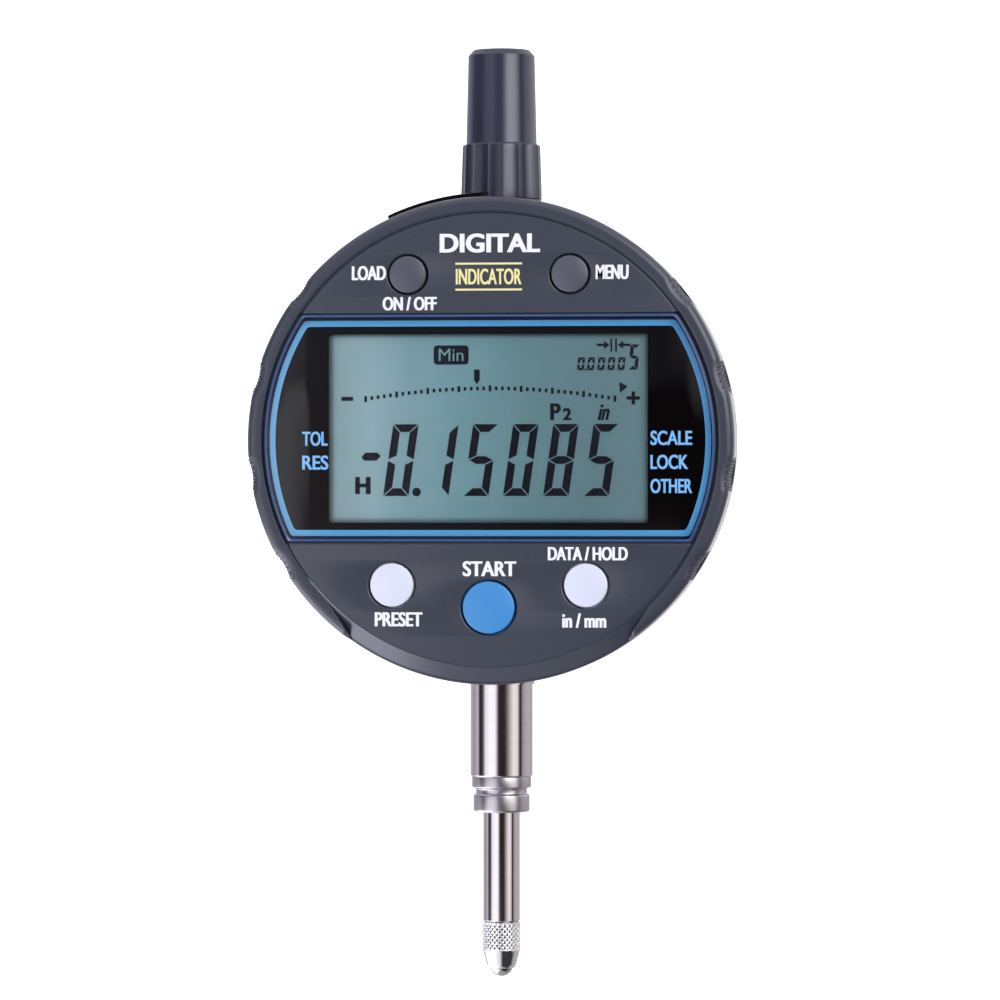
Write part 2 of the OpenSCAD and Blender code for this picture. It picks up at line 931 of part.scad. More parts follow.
module ribbon_coil() {
    outer = spiral(ribbon_half_t);
    inner = spiral(-ribbon_half_t);
    color(c_ribbon) dial() {
        translate([0, 0, ribbon_low]) linear_extrude(ribbon_w)
            polygon(concat(outer, [for (i = [ribbon_steps:-1:0]) inner[i]]));
        block([ribbon_in_r - ribbon_half_t, -fine_gap, ribbon_tail_low],
              [ribbon_in_r + ribbon_half_t, ribbon_tail_w, ribbon_low + ribbon_w]);
    }
}

// ---- Measuring unit ----

module detector_board() {
    color(c_board) dial() difference() {
        block([sensor_low.x, sensor_low.y, sensor_back],
              [sensor_high.x, sensor_high.y, sensor_front]);
        for (at = sensor_screws) translate([at.x, at.y, 0])
            disc(sensor_screw_r + 0.1, 0, case_front);
    }
}

module detector_chip() {
    color(c_chip) dial() translate([sensor_chip_at.x, sensor_chip_at.y, 0]) mirror([0, 0, 1])
        chip(sensor_chip_size.x, sensor_chip_size.y, -sensor_back, -sensor_chip_back, 4, 1);
}

module detector_socket() {
    color(c_white) dial()
        block([-sensor_socket_half.x, -sensor_socket_half.y, sensor_front],
              [sensor_socket_half.x, sensor_socket_half.y, sensor_socket_front]);
}

module detector_screws() {
    color(c_steel) dial() for (at = sensor_screws) translate([at.x, at.y, 0])
        screw(sensor_head_r, sensor_head_h, sensor_screw_r, sensor_back - sensor_head_h,
              sensor_screw_end);
}

module guide_rod() {
    color(c_steel) translate([rod_x, -rod_h, 0])
        rod(rod_r, bridge_top_v - 2.9, top_bridge_v + 2.4);
}

// Grooved pin that holds one end of the spring
module grooved_pin(foot, tip) {
    step = tip > foot ? 1 : -1;
    neck = tip - step * pin_neck;
    head = tip - step * pin_head;
    translate([spring_x, -spring_h, 0]) {
        rod(hook_r, min(foot, neck), max(foot, neck));
        rod(hook_neck_r, min(foot, tip), max(foot, tip));
        rod(hook_r, min(head, tip), max(head, tip));
    }
}

module spring_post() {
    color(c_steel) grooved_pin(bridge_top_v - 2.4, spring_low_v + 1.3);
}

module spring_hook() {
    color(c_steel) grooved_pin(hook_foot_v, spring_top_v - 1.3);
}

module return_spring() {
    color(c_steel) translate([spring_x, -spring_h, 0])
        rod(spring_r, spring_low_v, spring_top_v, spring_in_r);
}

module spindle() {
    color(c_steel) difference() {
        rod(spindle_r, contact_top_v, spindle_top_v);
        rod(stud_r, contact_top_v - 1, contact_top_v + stud_h + 0.5);
    }
}

module contact_holder() {
    color(c_steel) difference() {
        union() {
            rod(stud_r, contact_top_v - 0.5, contact_top_v + stud_h);
            axis_at(0) rotate_extrude() polygon([
                [0, contact_top_v], [knurl_r - 0.2, contact_top_v],
                [knurl_r, contact_top_v - 0.2], [knurl_r, knurl_low_v],
                [holder_end_r, holder_end_v], [0, holder_end_v]
            ]);
        }
        axis_at(ball_v) sphere(d = ball_d);
    }
}

module contact_ball() {
    color(c_carbide) axis_at(ball_v) sphere(d = ball_d);
}

module scale_carrier() {
    color(c_aluminium) difference() {
        dial() {
            block([-carrier_w, -carrier_half, carrier_back], [carrier_w, carrier_half, carrier_front]);
            block([carrier_w - 0.1, -wing_half, right_wing[1]],
                  [right_wing[0], wing_half, right_wing[2]]);
            block([left_wing[0], -wing_half, left_wing[1]],
                  [0.1 - carrier_w, wing_half, left_wing[2]]);
        }
        rod(spindle_r, -carrier_half - 1, carrier_half + 1);
        translate([rod_x, -rod_h, 0]) rod(rod_r + 0.04, -wing_half - 1, wing_half + 1);
        translate([spring_x, -spring_h, 0]) rod(hook_r, -wing_half - 1, hook_foot_v);
        dial() translate([0, carrier_screw_v, 0]) disc(carrier_screw_r, carrier_back - 1, 0);
    }
}

module carrier_screw() {
    color(c_steel) dial() translate([0, carrier_screw_v, 0])
        screw(carrier_head_r, carrier_head_h, carrier_screw_r, carrier_back - carrier_head_h,
              -spindle_r - fine_gap);
}

module main_scale() {
    color(c_scale) dial()
        block([-scale_half, scale_low, carrier_front], [scale_half, scale_high, scale_front]);
}

module stop_collar() {
    color(c_brass) rod(collar_r, collar_low_v, collar_low_v + collar_h, spindle_r);
}

// ---- Stem, bushes and seals ----

module stem() {
    color(c_steel) difference() {
        union() {
            rod(stem_r, shoulder_v, boss_low_v);
            rod(flange_neck_r, boss_low_v, boss_low_v + boss_step);
            rod(flange_r, boss_low_v + boss_step, flange_top_v);
        }
        rod(stem_bore_r, shoulder_v - 1, flange_top_v + 1);
    }
}

module stem_bush() {
    neck_v = shoulder_v - bush_ring_h;
    end_v = neck_v - bush_neck_h;
    color(c_steel) difference() {
        axis_at(0) rotate_extrude() polygon([
            [0, bush_in_v], [stem_bore_r, bush_in_v], [stem_bore_r, shoulder_v],
            [bush_ring_r, shoulder_v], [bush_ring_r, neck_v], [bush_neck_r, neck_v],
            [bush_neck_r, end_v], [bush_end_r, end_v], [bush_end_r, bush_end_v + 0.3],
            [bush_end_r - 0.3, bush_end_v], [0, bush_end_v]
        ]);
        rod(spindle_r + run_gap, bush_end_v - 1, bush_in_v + 1);
        rod(wiper_r, wiper_low_v, wiper_top_v);
    }
}

module wiper_seal() {
    color(c_rubber) rod(wiper_r, wiper_low_v, wiper_top_v, spindle_r + fine_gap);
}

module bumper() {
    color(c_rubber)
        rod(collar_bore_r, flange_top_v, collar_low_v - fine_gap, spindle_r + bumper_gap);
}

module upper_bush() {
    color(c_brass) rod(bush_r, top_bridge_v, nipple_seat_v, spindle_r + run_gap);
}

module cap_nipple() {
    color(c_steel) difference() {
        union() {
            rod(nipple_foot_r, nipple_seat_v, top_boss_v);
            rod(nipple_r, top_boss_v - eps, nipple_top_v);
        }
        rod(nipple_bore_r, nipple_seat_v - 1, nipple_top_v + 1);
        rod(nipple_r + 1, groove_low_v, groove_top_v, nipple_r - groove_deep);
    }
}

module cap_seal() {
    color(c_rubber) rod(nipple_r, groove_low_v, groove_top_v, nipple_r - groove_deep);
}

module flute_cuts() {
    lean = atan((skirt_d / 2 - skirt_top_r) / (skirt_top_v - cap_low_v));
    for (i = [0:flutes - 1]) rotate((i + 0.11) * 360 / flutes)
        translate([skirt_d / 2 + flute_r - flute_deep, 0, -1]) rotate([0, -lean, 0])
            cylinder(r = flute_r, h = skirt_top_v - cap_low_v + 2);
}

module spindle_cap() {
    color(c_case) difference() {
        union() {
            axis_at(cap_low_v) difference() {
                cylinder(r1 = skirt_d / 2, r2 = skirt_top_r, h = skirt_top_v - cap_low_v);
                flute_cuts();
            }
            axis_at(skirt_top_v - 1)
                cylinder(r1 = cap_mid_r, r2 = cap_top_d / 2, h = cap_top_v - skirt_top_v + 0.3);
            axis_at(cap_top_v - 0.7)
                cylinder(r1 = cap_top_d / 2, r2 = cap_top_d / 2 - 0.7, h = 0.7);
        }
        rod(nipple_r + fine_gap, cap_low_v - 1, nipple_top_v + 0.3);
        rod(cap_in_r, nipple_top_v, cap_roof_v);
    }
}

rear_case();
lug_back();
back_screws();
back_seal();
stem();
stem_bush();
wiper_seal();
bumper();
upper_bush();
cap_nipple();
cap_seal();
detector_board();
detector_chip();
detector_socket();
detector_screws();
guide_rod();
spring_post();
retaining_ring();
retaining_screws();
stop_pin();
drag_washer();
ribbon_coil();
spindle();
contact_holder();
contact_ball();
scale_carrier();
carrier_screw();
main_scale();
stop_collar();
spring_hook();
return_spring();
front_case();
window_lens();
window_mask();
lcd_panel();
lcd_reflector();
lcd_holder();
zebra_strips();
main_board();
main_chip();
crystal();
capacitors();
ribbon_socket();
upper_keypad();
lower_keypad();
switch_board();
display_back();
display_screws();
battery_contacts();
data_port();
power_button();
menu_button();
preset_button();
start_button();
hold_button();
battery_drawer();
battery();
drawer_seal();
port_cap();
spindle_cap();
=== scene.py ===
import json
import math

import bmesh
import bpy
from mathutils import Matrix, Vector


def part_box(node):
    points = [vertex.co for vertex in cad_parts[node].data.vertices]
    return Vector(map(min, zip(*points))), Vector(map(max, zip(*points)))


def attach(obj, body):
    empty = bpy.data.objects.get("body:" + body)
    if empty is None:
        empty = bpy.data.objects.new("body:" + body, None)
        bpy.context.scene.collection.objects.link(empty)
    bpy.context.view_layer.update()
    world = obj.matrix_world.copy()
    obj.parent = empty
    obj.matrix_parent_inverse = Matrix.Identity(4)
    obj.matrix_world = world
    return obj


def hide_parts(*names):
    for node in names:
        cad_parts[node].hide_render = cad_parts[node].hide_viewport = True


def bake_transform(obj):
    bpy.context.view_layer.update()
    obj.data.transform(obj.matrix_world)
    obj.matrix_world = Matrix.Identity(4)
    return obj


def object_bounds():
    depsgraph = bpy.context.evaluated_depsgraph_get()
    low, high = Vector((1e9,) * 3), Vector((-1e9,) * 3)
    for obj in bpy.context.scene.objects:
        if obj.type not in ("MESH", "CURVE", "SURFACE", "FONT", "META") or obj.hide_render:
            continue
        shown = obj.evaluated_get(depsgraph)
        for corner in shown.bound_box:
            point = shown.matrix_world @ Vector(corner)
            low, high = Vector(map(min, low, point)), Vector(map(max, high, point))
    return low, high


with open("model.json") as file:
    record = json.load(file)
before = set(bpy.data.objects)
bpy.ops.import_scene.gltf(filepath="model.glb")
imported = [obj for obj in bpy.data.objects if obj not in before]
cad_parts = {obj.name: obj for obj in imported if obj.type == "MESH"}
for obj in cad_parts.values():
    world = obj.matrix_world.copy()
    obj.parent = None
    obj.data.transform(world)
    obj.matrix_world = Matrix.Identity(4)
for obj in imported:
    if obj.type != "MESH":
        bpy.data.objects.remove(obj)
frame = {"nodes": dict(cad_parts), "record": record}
cad_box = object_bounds()

# Sizes, in millimetres. u is right and v up from the display's centre, and h is
# forward of the stem axis, towards the reader.
MM = 0.001


def box_mm(node):
    low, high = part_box(node)
    return low / MM, high / MM


case_low, case_high = box_mm("front_case")
DIAL_R = (case_high.z - case_low.z) / 2
DIAL_Z = (case_high.z + case_low.z) / 2
PANEL = -case_low.y
UNIT_BACK = -case_high.y
PANEL_T = 1.3
PANEL_R = DIAL_R - 2.15
RIM_IN = DIAL_R - 1.88
RIM_H = PANEL - 0.2
RIM_ROUND = 1.0
WALL_IN = DIAL_R - 1.9
BEVEL_DROP = 2.0
LIP = 0.34
LIP_ROUND = 0.18

lens_low, lens_high = box_mm("window_lens")
LENS_R = lens_high.x
LENS_TOP = lens_high.z - DIAL_Z
LENS_BOTTOM = DIAL_Z - lens_low.z
LENS_FRONT = -lens_low.y
LENS_BACK = -lens_high.y
WINDOW_GAP = 0.1

mask_low, mask_high = box_mm("window_mask")
MASK_FRONT = -mask_low.y
MASK_BACK = -mask_high.y
lcd_low, lcd_high = box_mm("lcd_panel")
LCD_FRONT = -lcd_low.y

STEM_R = frame["record"]["mounts"][0]["dims"]["r_mm"]
CONTACT_R = box_mm("contact_holder")[1].x


def face_point(u, v, h):
    return Vector((u, -h, v + DIAL_Z)) * MM


def axis_point(r, angle, z):
    return Vector((r * math.cos(angle), r * math.sin(angle), z)) * MM


def smooth(x):
    x = min(1.0, max(0.0, x))
    return x * x * (3 - 2 * x)


def mix(a, b, t):
    return a + (b - a) * t


# Materials: every colour and roughness varies a little over the surface
def feed(tree, shader, inputs):
    """Gives a node's sockets, by name or number, a value or another node's output."""
    for key, value in inputs.items():
        if isinstance(value, bpy.types.NodeSocket):
            tree.links.new(value, shader.inputs[key])
        else:
            shader.inputs[key].default_value = value


def node(tree, kind, inputs=None, **settings):
    made = tree.nodes.new("ShaderNode" + kind)
    for name, value in settings.items():
        setattr(made, name, value)
    feed(tree, made, inputs or {})
    return made


def noise(tree, scale, detail=3.0, stretch=(1, 1, 1)):
    """Noise over the piece's own coordinates, drawn out along an axis by stretch."""
    place = node(tree, "TexCoord").outputs["Object"]
    mapping = node(tree, "Mapping", {"Scale": stretch, "Vector": place})
    return node(tree, "TexNoise", {"Scale": scale, "Detail": detail,
                                   "Vector": mapping.outputs[0]}).outputs["Fac"]


def spread(tree, source, low, high, start=0.3, end=0.7, kind="LINEAR", clamp=True):
    """Maps source from start..end to low..high. Noise mostly stays between 0.3 and 0.7."""
    return node(tree, "MapRange", {"From Min": start, "From Max": end, "To Min": low,
                                   "To Max": high, "Value": source},
                interpolation_type=kind, clamp=clamp).outputs["Result"]


def computed(tree, operation, *values):
    """The result of a Math node on values or other nodes' outputs."""
    return node(tree, "Math", dict(enumerate(values)), operation=operation).outputs[0]


def blended(tree, share, one, other, **settings):
    """A colour mixed from two others."""
    return node(tree, "Mix", {0: share, 6: one, 7: other}, data_type="RGBA",
                **settings).outputs[2]


SLOTS = {}


def new_material(name):
    """A material and its node tree; SLOTS finds it by the name, which is a slot's for most."""
    made = SLOTS[name] = bpy.data.materials.new(name)
    made.use_nodes = True
    return made, made.node_tree


def surface(name, color, rough, vary=0.06, rough_vary=0.04, tone=180, grain=9000,
            bump=0.02, depth=0.00002, stretch=(1, 1, 1), **constants):
    """A Principled material whose colour, roughness and fine relief come from noise."""
    made, tree = new_material(name)
    fine = noise(tree, grain, 2.0, stretch)
    dark = (*[c * (1 - vary) for c in color], 1)
    pale = (*[min(1, c * (1 + vary)) for c in color], 1)
    relief = node(tree, "Bump", {"Strength": bump, "Distance": depth, "Height": fine})
    feed(tree, tree.nodes["Principled BSDF"], {
        **{socket.replace("_", " "): value for socket, value in constants.items()},
        "Base Color": blended(tree, spread(tree, noise(tree, tone, 4.0, stretch), 0, 1),
                              dark, pale),
        "Roughness": spread(tree, fine, rough - rough_vary, rough + rough_vary),
        "Normal": relief.outputs["Normal"]})
    return made


def fill_ramp(ramp, stops):
    """Gives a colour ramp its stops of (position, colour), the first and last at its ends."""
    ends = ramp.elements
    for stop, (place, tone) in zip(ends, (stops[0], stops[-1])):
        stop.position = place
        stop.color = (*tone, 1)
    for place, tone in stops[1:-1]:
        ends.new(place).color = (*tone, 1)


# Colour of the painted shade along the display film's edges, where the mask's shadow falls.
BORDER_SHADE = (0.30, 0.34, 0.36, 1)
# Colour of the painted shade in the knurl's pits.
PIT_SHADE = (0.015, 0.013, 0.014, 1)


def base_color(material):
    """A material's node tree, its shader and what feeds its base colour."""
    shader = material.node_tree.nodes["Principled BSDF"]
    return material.node_tree, shader, shader.inputs["Base Color"].links[0].from_socket


def painted_light_by_place(material, ramp_of, border=()):
    """Paints light and shade into a material's colour: multiplies it by a ramp along one of the
    shared frame's axes (stops of millimetres and colour), which gives the colour with a painted
    gradient of light, and darkens it towards a border (axis, start, end) with painted shade."""
    tree, shader, color = base_color(material)
    place = node(tree, "TexCoord").outputs["Object"]
    parts = node(tree, "SeparateXYZ", {0: place}).outputs
    axis, stops = ramp_of
    first, last = stops[0][0], stops[-1][0]
    along = spread(tree, parts[axis], 0, 1, first * MM, last * MM)
    ramp = node(tree, "ValToRGB", {0: along})
    fill_ramp(ramp.color_ramp, [((at - first) / (last - first), tone) for at, tone in stops])
    color = blended(tree, 1, color, ramp.outputs["Color"], blend_type="MULTIPLY")
    # Painted shade: the colour darkens towards each border.
    for axis, start, end in border:
        inside = spread(tree, parts[axis], 0, 1, start * MM, end * MM, "SMOOTHSTEP")
        color = blended(tree, computed(tree, "SUBTRACT", 1, inside), color, BORDER_SHADE,
                        blend_type="MULTIPLY")
    feed(tree, shader, {"Base Color": color})
    return material


def paint_pit_shade(material, floor, top):
    """Paints shade into a round piece's colour: darkens it wherever its surface lies below the
    radius top, down to floor.
    """
    tree, shader, color = base_color(material)
    place = node(tree, "TexCoord").outputs["Object"]
    level = node(tree, "Mapping", {"Scale": (1, 1, 0), "Vector": place})
    radius = node(tree, "VectorMath", {0: level.outputs[0]}, operation="LENGTH")
    share = spread(tree, radius.outputs["Value"], 0, 1, floor * MM, top * MM, "SMOOTHSTEP")
    feed(tree, shader, {"Base Color": blended(tree, share, PIT_SHADE, color)})
    return material


def see_through(name, tint, rough=0.02, face_on=0.04, haze=0.0, haze_color=(0.5, 0.5, 0.5)):
    """Clear sheet: light passes straight through, and it mirrors more towards its edges."""
    made, tree = new_material(name)
    tree.nodes.remove(tree.nodes["Principled BSDF"])
    shade = blended(tree, noise(tree, 150), (*tint, 1), (*[c * 0.985 for c in tint], 1))
    clear = node(tree, "BsdfTransparent", {"Color": shade})
    gloss = node(tree, "BsdfGlossy",
                 {"Roughness": spread(tree, noise(tree, 400), rough, rough + 0.015)})
    facing = node(tree, "LayerWeight", {"Blend": 0.5}).outputs["Facing"]
    edge = computed(tree, "POWER", facing, 5)
    mirror = computed(tree, "MULTIPLY_ADD", edge, 1 - face_on, face_on)
    last = node(tree, "MixShader", {0: mirror, 1: clear.outputs[0], 2: gloss.outputs[0]})
    if haze:
        dull = node(tree, "BsdfDiffuse", {"Color": (*haze_color, 1)})
        last = node(tree, "MixShader", {0: haze, 1: last.outputs[0], 2: dull.outputs[0]})
    feed(tree, tree.nodes["Material Output"], {"Surface": last.outputs[0]})
    return made


AROUND_STEM = (1, 1, 60)


def steel(name, color, rough, vary, rough_vary, bump, depth, metallic=1.0):
    """Turned metal, with its fine lines round the stem's axis."""
    return surface(name, color, rough, vary, rough_vary, 120, 900, bump, depth, AROUND_STEM,
                   Metallic=metallic)


SLATE = (0.044, 0.051, 0.070)

surface("case_plastic", SLATE, 0.30, 0.04, 0.03, 60, 7000, 0.06,
        Coat_Weight=0.12, Coat_Roughness=0.14)
surface("back_plastic", (0.022, 0.023, 0.028), 0.42, 0.1, 0.05, 60, 5200, 0.3)
surface("gloss_black", (0.0015, 0.0015, 0.002), 0.12, 0.2, 0.03, 60, 3000, 0.01,
        Specular_IOR_Level=0.2)
surface("cap_plastic", (0.025, 0.029, 0.052), 0.22, 0.05, 0.03, 60, 5000, 0.03,
        IOR=1.6)
surface("white_button", (0.72, 0.76, 0.88), 0.38, 0.015, 0.04, 90, 6000, 0.05)
surface("blue_button", (0.055, 0.27, 0.62), 0.36, 0.04, 0.04, 90, 6000, 0.05)
surface("grey_button", (0.082, 0.087, 0.112), 0.36, 0.05, 0.04, 90, 6000, 0.08)
surface("white_nylon", (0.80, 0.80, 0.76), 0.5, 0.03, 0.05, 120, 4000, 0.1)
steel("ground_steel", (0.70, 0.67, 0.69), 0.11, 0.03, 0.025, 0.05, 0.000004)
steel("steel_parts", (0.60, 0.59, 0.60), 0.26, 0.05, 0.05, 0.08, 0.000005)
surface("carbide", (0.52, 0.51, 0.52), 0.14, 0.05, 0.03, 200, 3000, 0.02,
        0.000004, Metallic=1.0)
surface("bronze", (0.62, 0.42, 0.18), 0.3, 0.08, 0.06, 150, 1200, 0.1,
        0.000005, AROUND_STEM, Metallic=1.0)
surface("rubber_parts", (0.022, 0.022, 0.024), 0.72, 0.1, 0.06, 150, 5000, 0.3)
surface("board", (0.012, 0.13, 0.055), 0.38, 0.12, 0.05, 260, 2500, 0.12)
surface("chip", (0.016, 0.016, 0.018), 0.5, 0.1, 0.06, 200, 7000, 0.3)
surface("capacitor", (0.48, 0.33, 0.18), 0.42, 0.08, 0.05, 300, 4000, 0.1)
surface("aluminium_parts", (0.68, 0.69, 0.71), 0.33, 0.05, 0.06, 150, 1400,
        0.15, 0.000006, (1, 12, 1), Metallic=1.0)
surface("mask_print", (0.0007, 0.0007, 0.0011), 0.5, 0.2, 0.05, 80, 5000, 0.02,
        Specular_IOR_Level=0.0)
surface("zebra", (0.50, 0.17, 0.25), 0.6, 0.25, 0.05, 500, 4000, 0.1,
        stretch=(14, 1, 1))
surface("ribbon", (0.50, 0.21, 0.035), 0.32, 0.12, 0.05, 200, 2500, 0.05,
        stretch=(1, 8, 1))
# The ramp gives the display film its own grey-green colour, and its change from lighter and greyer
# on the left to darker and greener on the right is painted light; the borders carry painted shade
# where the mask's shadow falls on the film.
painted_light_by_place(
    surface("silver_film", (1, 1, 1), 0.6, 0.05, 0.05, 260, 8000, 0.05,
            Specular_IOR_Level=0.1),
    ("X", [(-20.3, (0.42, 0.53, 0.51)), (-15, (0.45, 0.60, 0.60)), (-10, (0.33, 0.50, 0.51)),
           (-3, (0.26, 0.44, 0.45)), (4, (0.21, 0.35, 0.35)), (12, (0.19, 0.30, 0.31)),
           (20, (0.21, 0.31, 0.31))]),
    [("X", -20.35, -19.5), ("X", 20.0, 19.4), ("Z", DIAL_Z - 10.4, DIAL_Z - 9.5),
     ("Z", DIAL_Z + 13.45, DIAL_Z + 12.8)])
see_through("clear_lens", (0.96, 0.98, 1.0))
see_through("lcd_glass", (0.97, 0.99, 0.985), 0.05, 0.01)
see_through("scale_glass", (0.75, 0.86, 0.80), 0.03, 0.04, 0.2, (0.4, 0.5, 0.45))
# The clear lens's bevelled side is painted opaque blue: painted light standing in for the
# highlight and the refracted blue print that a clear bevel shows.
LENS_EDGE = surface("lens_edge", (0.05, 0.10, 0.24), 0.14, 0.05, 0.02, 60, 3000, 0.01)
NAVY_PRINT = surface("navy_print", (0.006, 0.012, 0.040), 0.4, 0.1, 0.04, 60, 5000, 0.02,
                     Specular_IOR_Level=0.1)
# The ramp gives the print its own blue, and the lighter left end is a painted highlight.
BLUE_PRINT = painted_light_by_place(surface("blue_print", (1, 1, 1), 0.42, 0.03, 0.04, 60, 5000, 0.02,
                              Specular_IOR_Level=0.1),
                      ("X", [(-28.0, (0.28, 0.66, 0.94)), (-20, (0.15, 0.52, 0.83)),
                             (10, (0.12, 0.47, 0.79)), (28, (0.14, 0.49, 0.83))]))
BRUSHED_STEEL = steel("brushed_steel", (0.52, 0.50, 0.53), 0.29, 0.04, 0.02, 0.1, 0.000005)
# The knurl's pits are darkened with painted shade, deeper surface darker.
KNURLED_STEEL = paint_pit_shade(steel("knurled_steel", (0.92, 0.91, 0.92), 0.3, 0.03, 0.03, 0.03,
                                0.000004, 0.8), CONTACT_R - 0.2, CONTACT_R - 0.06)
POLISHED_STEEL = steel("polished_steel", (0.80, 0.77, 0.79), 0.09, 0.03, 0.02, 0.03, 0.000004)
WALL_PLASTIC = surface("wall_plastic", SLATE, 0.15, 0.04, 0.03, 60, 7000, 0.03,
                       Coat_Weight=0.5, Coat_Roughness=0.08)
WHITE_INK = surface("white_ink", (0.90, 0.91, 0.96), 0.5, 0.02, 0.04, 200, 6000, 0.05)
YELLOW_INK = surface("yellow_ink", (0.86, 0.80, 0.36), 0.5, 0.03, 0.04, 200, 6000, 0.05)
LIGHT_BLUE_INK = surface("light_blue_ink", (0.24, 0.58, 0.97), 0.5, 0.03, 0.04, 200, 6000, 0.05)
SEGMENT_INK = surface("segment_ink", (0.0035, 0.0035, 0.010), 0.5, 0.2, 0.04, 200, 6000, 0.02,
                      Specular_IOR_Level=0.1)


# Mesh tools
def placed(name, data):
    """A new object in the scene for a mesh, curve or camera."""
    made = bpy.data.objects.new(name, data)
    bpy.context.scene.collection.objects.link(made)
    return made


def new_mesh(name, points, faces):
    mesh = bpy.data.meshes.new(name)
    mesh.from_pydata([tuple(p) for p in points], [], faces)
    return mesh


def add_piece(name, body, slot=None, materials=(), replaces=(), points=(), faces=(), sharp=32,
              paint=None):
    """A mesh piece that rides on a CAD body and takes its finish from a slot of the record.
    paint gives a face's material number from its index."""
    mesh = new_mesh(name, points, faces)
    if paint:
        for i, face in enumerate(mesh.polygons):
            face.material_index = paint(i)
    piece = placed(name, mesh)
    tidy_mesh(mesh, sharp)
    for material in materials or [SLOTS[slot]]:
        mesh.materials.append(material)
    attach(piece, body)
    if replaces:
        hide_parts(*replaces)


def tidy_mesh(mesh, sharp):
    """Welds points that coincide, turns the faces outwards and marks the sharp edges."""
    made = bmesh.new()
    made.from_mesh(mesh)
    bmesh.ops.remove_doubles(made, verts=made.verts, dist=2e-7)
    bmesh.ops.recalc_face_normals(made, faces=made.faces)
    for face in made.faces:
        face.smooth = True
    for edge in made.edges:
        edge.smooth = edge.calc_face_angle(0) < math.radians(sharp)
    made.to_mesh(mesh)
    made.free()


def skin(rows, wrap_rows=False, first=0):
    """Quads between neighbouring rows of points; every row is a closed loop."""
    count, size = len(rows), len(rows[0])
    faces = []
    for i in range(count if wrap_rows else count - 1):
        a, b = first + i * size, first + (i + 1) % count * size
        faces += [(a + j, a + (j + 1) % size, b + (j + 1) % size, b + j) for j in range(size)]
    return [p for row in rows for p in row], faces


def rounded(corners, steps=5, closed=False):
    """Corners (x, y) or (x, y, radius), with an arc at each corner that has a radius."""
    points = []
    count = len(corners)
    for i, corner in enumerate(corners):
        here = Vector(corner[:2])
        radius = corner[2] if len(corner) > 2 else 0
        if not radius or (not closed and i in (0, count - 1)):
            points.append(here)
            continue
        back = Vector(corners[i - 1][:2]) - here
        ahead = Vector(corners[(i + 1) % count][:2]) - here
        half = back.angle(ahead) / 2
        cut = min(radius / math.tan(half), back.length * 0.49, ahead.length * 0.49)
        radius = cut * math.tan(half)
        back.normalize()
        ahead.normalize()
        centre = here + (back + ahead).normalized() * radius / math.sin(half)
        start, end = here + back * cut - centre, here + ahead * cut - centre
        from_angle = math.atan2(start.y, start.x)
        turn = (math.atan2(end.y, end.x) - from_angle + math.pi) % (2 * math.pi) - math.pi
        for k in range(steps + 1):
            angle = from_angle + turn * k / steps
            points.append(centre + Vector((math.cos(angle), math.sin(angle))) * radius)
    return points


def lathe(profile, place, closed=False, segments=96):
    """Turns a profile of (radius, height) points, each put where place(r, angle, h) says."""
    angles = [2 * math.pi * k / segments for k in range(segments)]
    return skin([[place(r, a, h) for a in angles] for r, h in profile], closed)


def on_face(u, v):
    """Places turned points about an axis square to the panel, through u, v."""
    return lambda r, a, h: face_point(u + r * math.cos(a), v + r * math.sin(a), h)


def joined(parts):
    """Several (points, faces) as one."""
    points, faces = [], []
    for some_points, some_faces in parts:
        base = len(points)
        points += some_points
        faces += [tuple(i + base for i in face) for face in some_faces]
    return points, faces


def curve_mesh(curve, place):
    """The filled shape of a curve as (points, faces), each point put where place says."""
    holder = placed("curve", curve)
    mesh = holder.evaluated_get(bpy.context.evaluated_depsgraph_get()).to_mesh()
    points = place([p.co for p in mesh.vertices])
    faces = [tuple(f.vertices) for f in mesh.polygons]
    bpy.data.objects.remove(holder)
    return points, faces


def plate(outlines, low, high, edge=0.0):
    """A flat plate in the display's frame from low to high, with holes and softened edges.
    The first outline is the outside; each outline is a list of (u, v)."""
    curve = bpy.data.curves.new("plate", "CURVE")
    curve.dimensions = "2D"
    curve.fill_mode = "BOTH"
    curve.extrude = (high - low) / 2 - edge
    curve.bevel_depth = edge
    curve.bevel_resolution = 2
    curve.offset = -edge
    for outline in outlines:
        spline = curve.splines.new("POLY")
        spline.points.add(len(outline) - 1)
        for point, (u, v) in zip(spline.points, outline):
            point.co = (u, v, 0, 1)
        spline.use_cyclic_u = True
    middle = (high + low) / 2
    return curve_mesh(curve, lambda found: [face_point(p.x, p.y, p.z + middle) for p in found])


def circle(u, v, r, count=72):
    return [(u + r * math.cos(2 * math.pi * k / count), v + r * math.sin(2 * math.pi * k / count))
            for k in range(count)]


def rectangle(left, bottom, right, top, r=0.0):
    corners = [(left, bottom, r), (right, bottom, r), (right, top, r), (left, top, r)]
    return [tuple(p) for p in rounded(corners, closed=True)] if r else [c[:2] for c in corners]


def softened(outline, passes):
    """The outline with its corners eased by averaging each point with its neighbours."""
    for _ in range(passes):
        count = len(outline)
        outline = [(outline[i - 1] + 2 * outline[i] + outline[(i + 1) % count]) / 4
                   for i in range(count)]
    return outline


def window_outline(inset, level_inset=None, passes=6, step=0.16):
    """The window's outline: a circle cut by two level chords, each moved inwards."""
    level_inset = inset if level_inset is None else level_inset
    r, top, bottom = LENS_R - inset, LENS_TOP - level_inset, LENS_BOTTOM - level_inset
    high, low = math.asin(top / r), -math.asin(bottom / r)
    arc, across = int(LENS_R / step), int(2 * (LENS_R - LENS_TOP / 4) / step)
    right = [Vector((r * math.cos(mix(low, high, k / arc)), r * math.sin(mix(low, high, k / arc))))
             for k in range(arc + 1)]
    left = [Vector((-p.x, p.y)) for p in reversed(right)]
    top_edge = [right[-1].lerp(left[0], k / across) for k in range(1, across)]
    bottom_edge = [left[-1].lerp(right[0], k / across) for k in range(1, across)]
    return softened(right + top_edge + left + bottom_edge, passes)


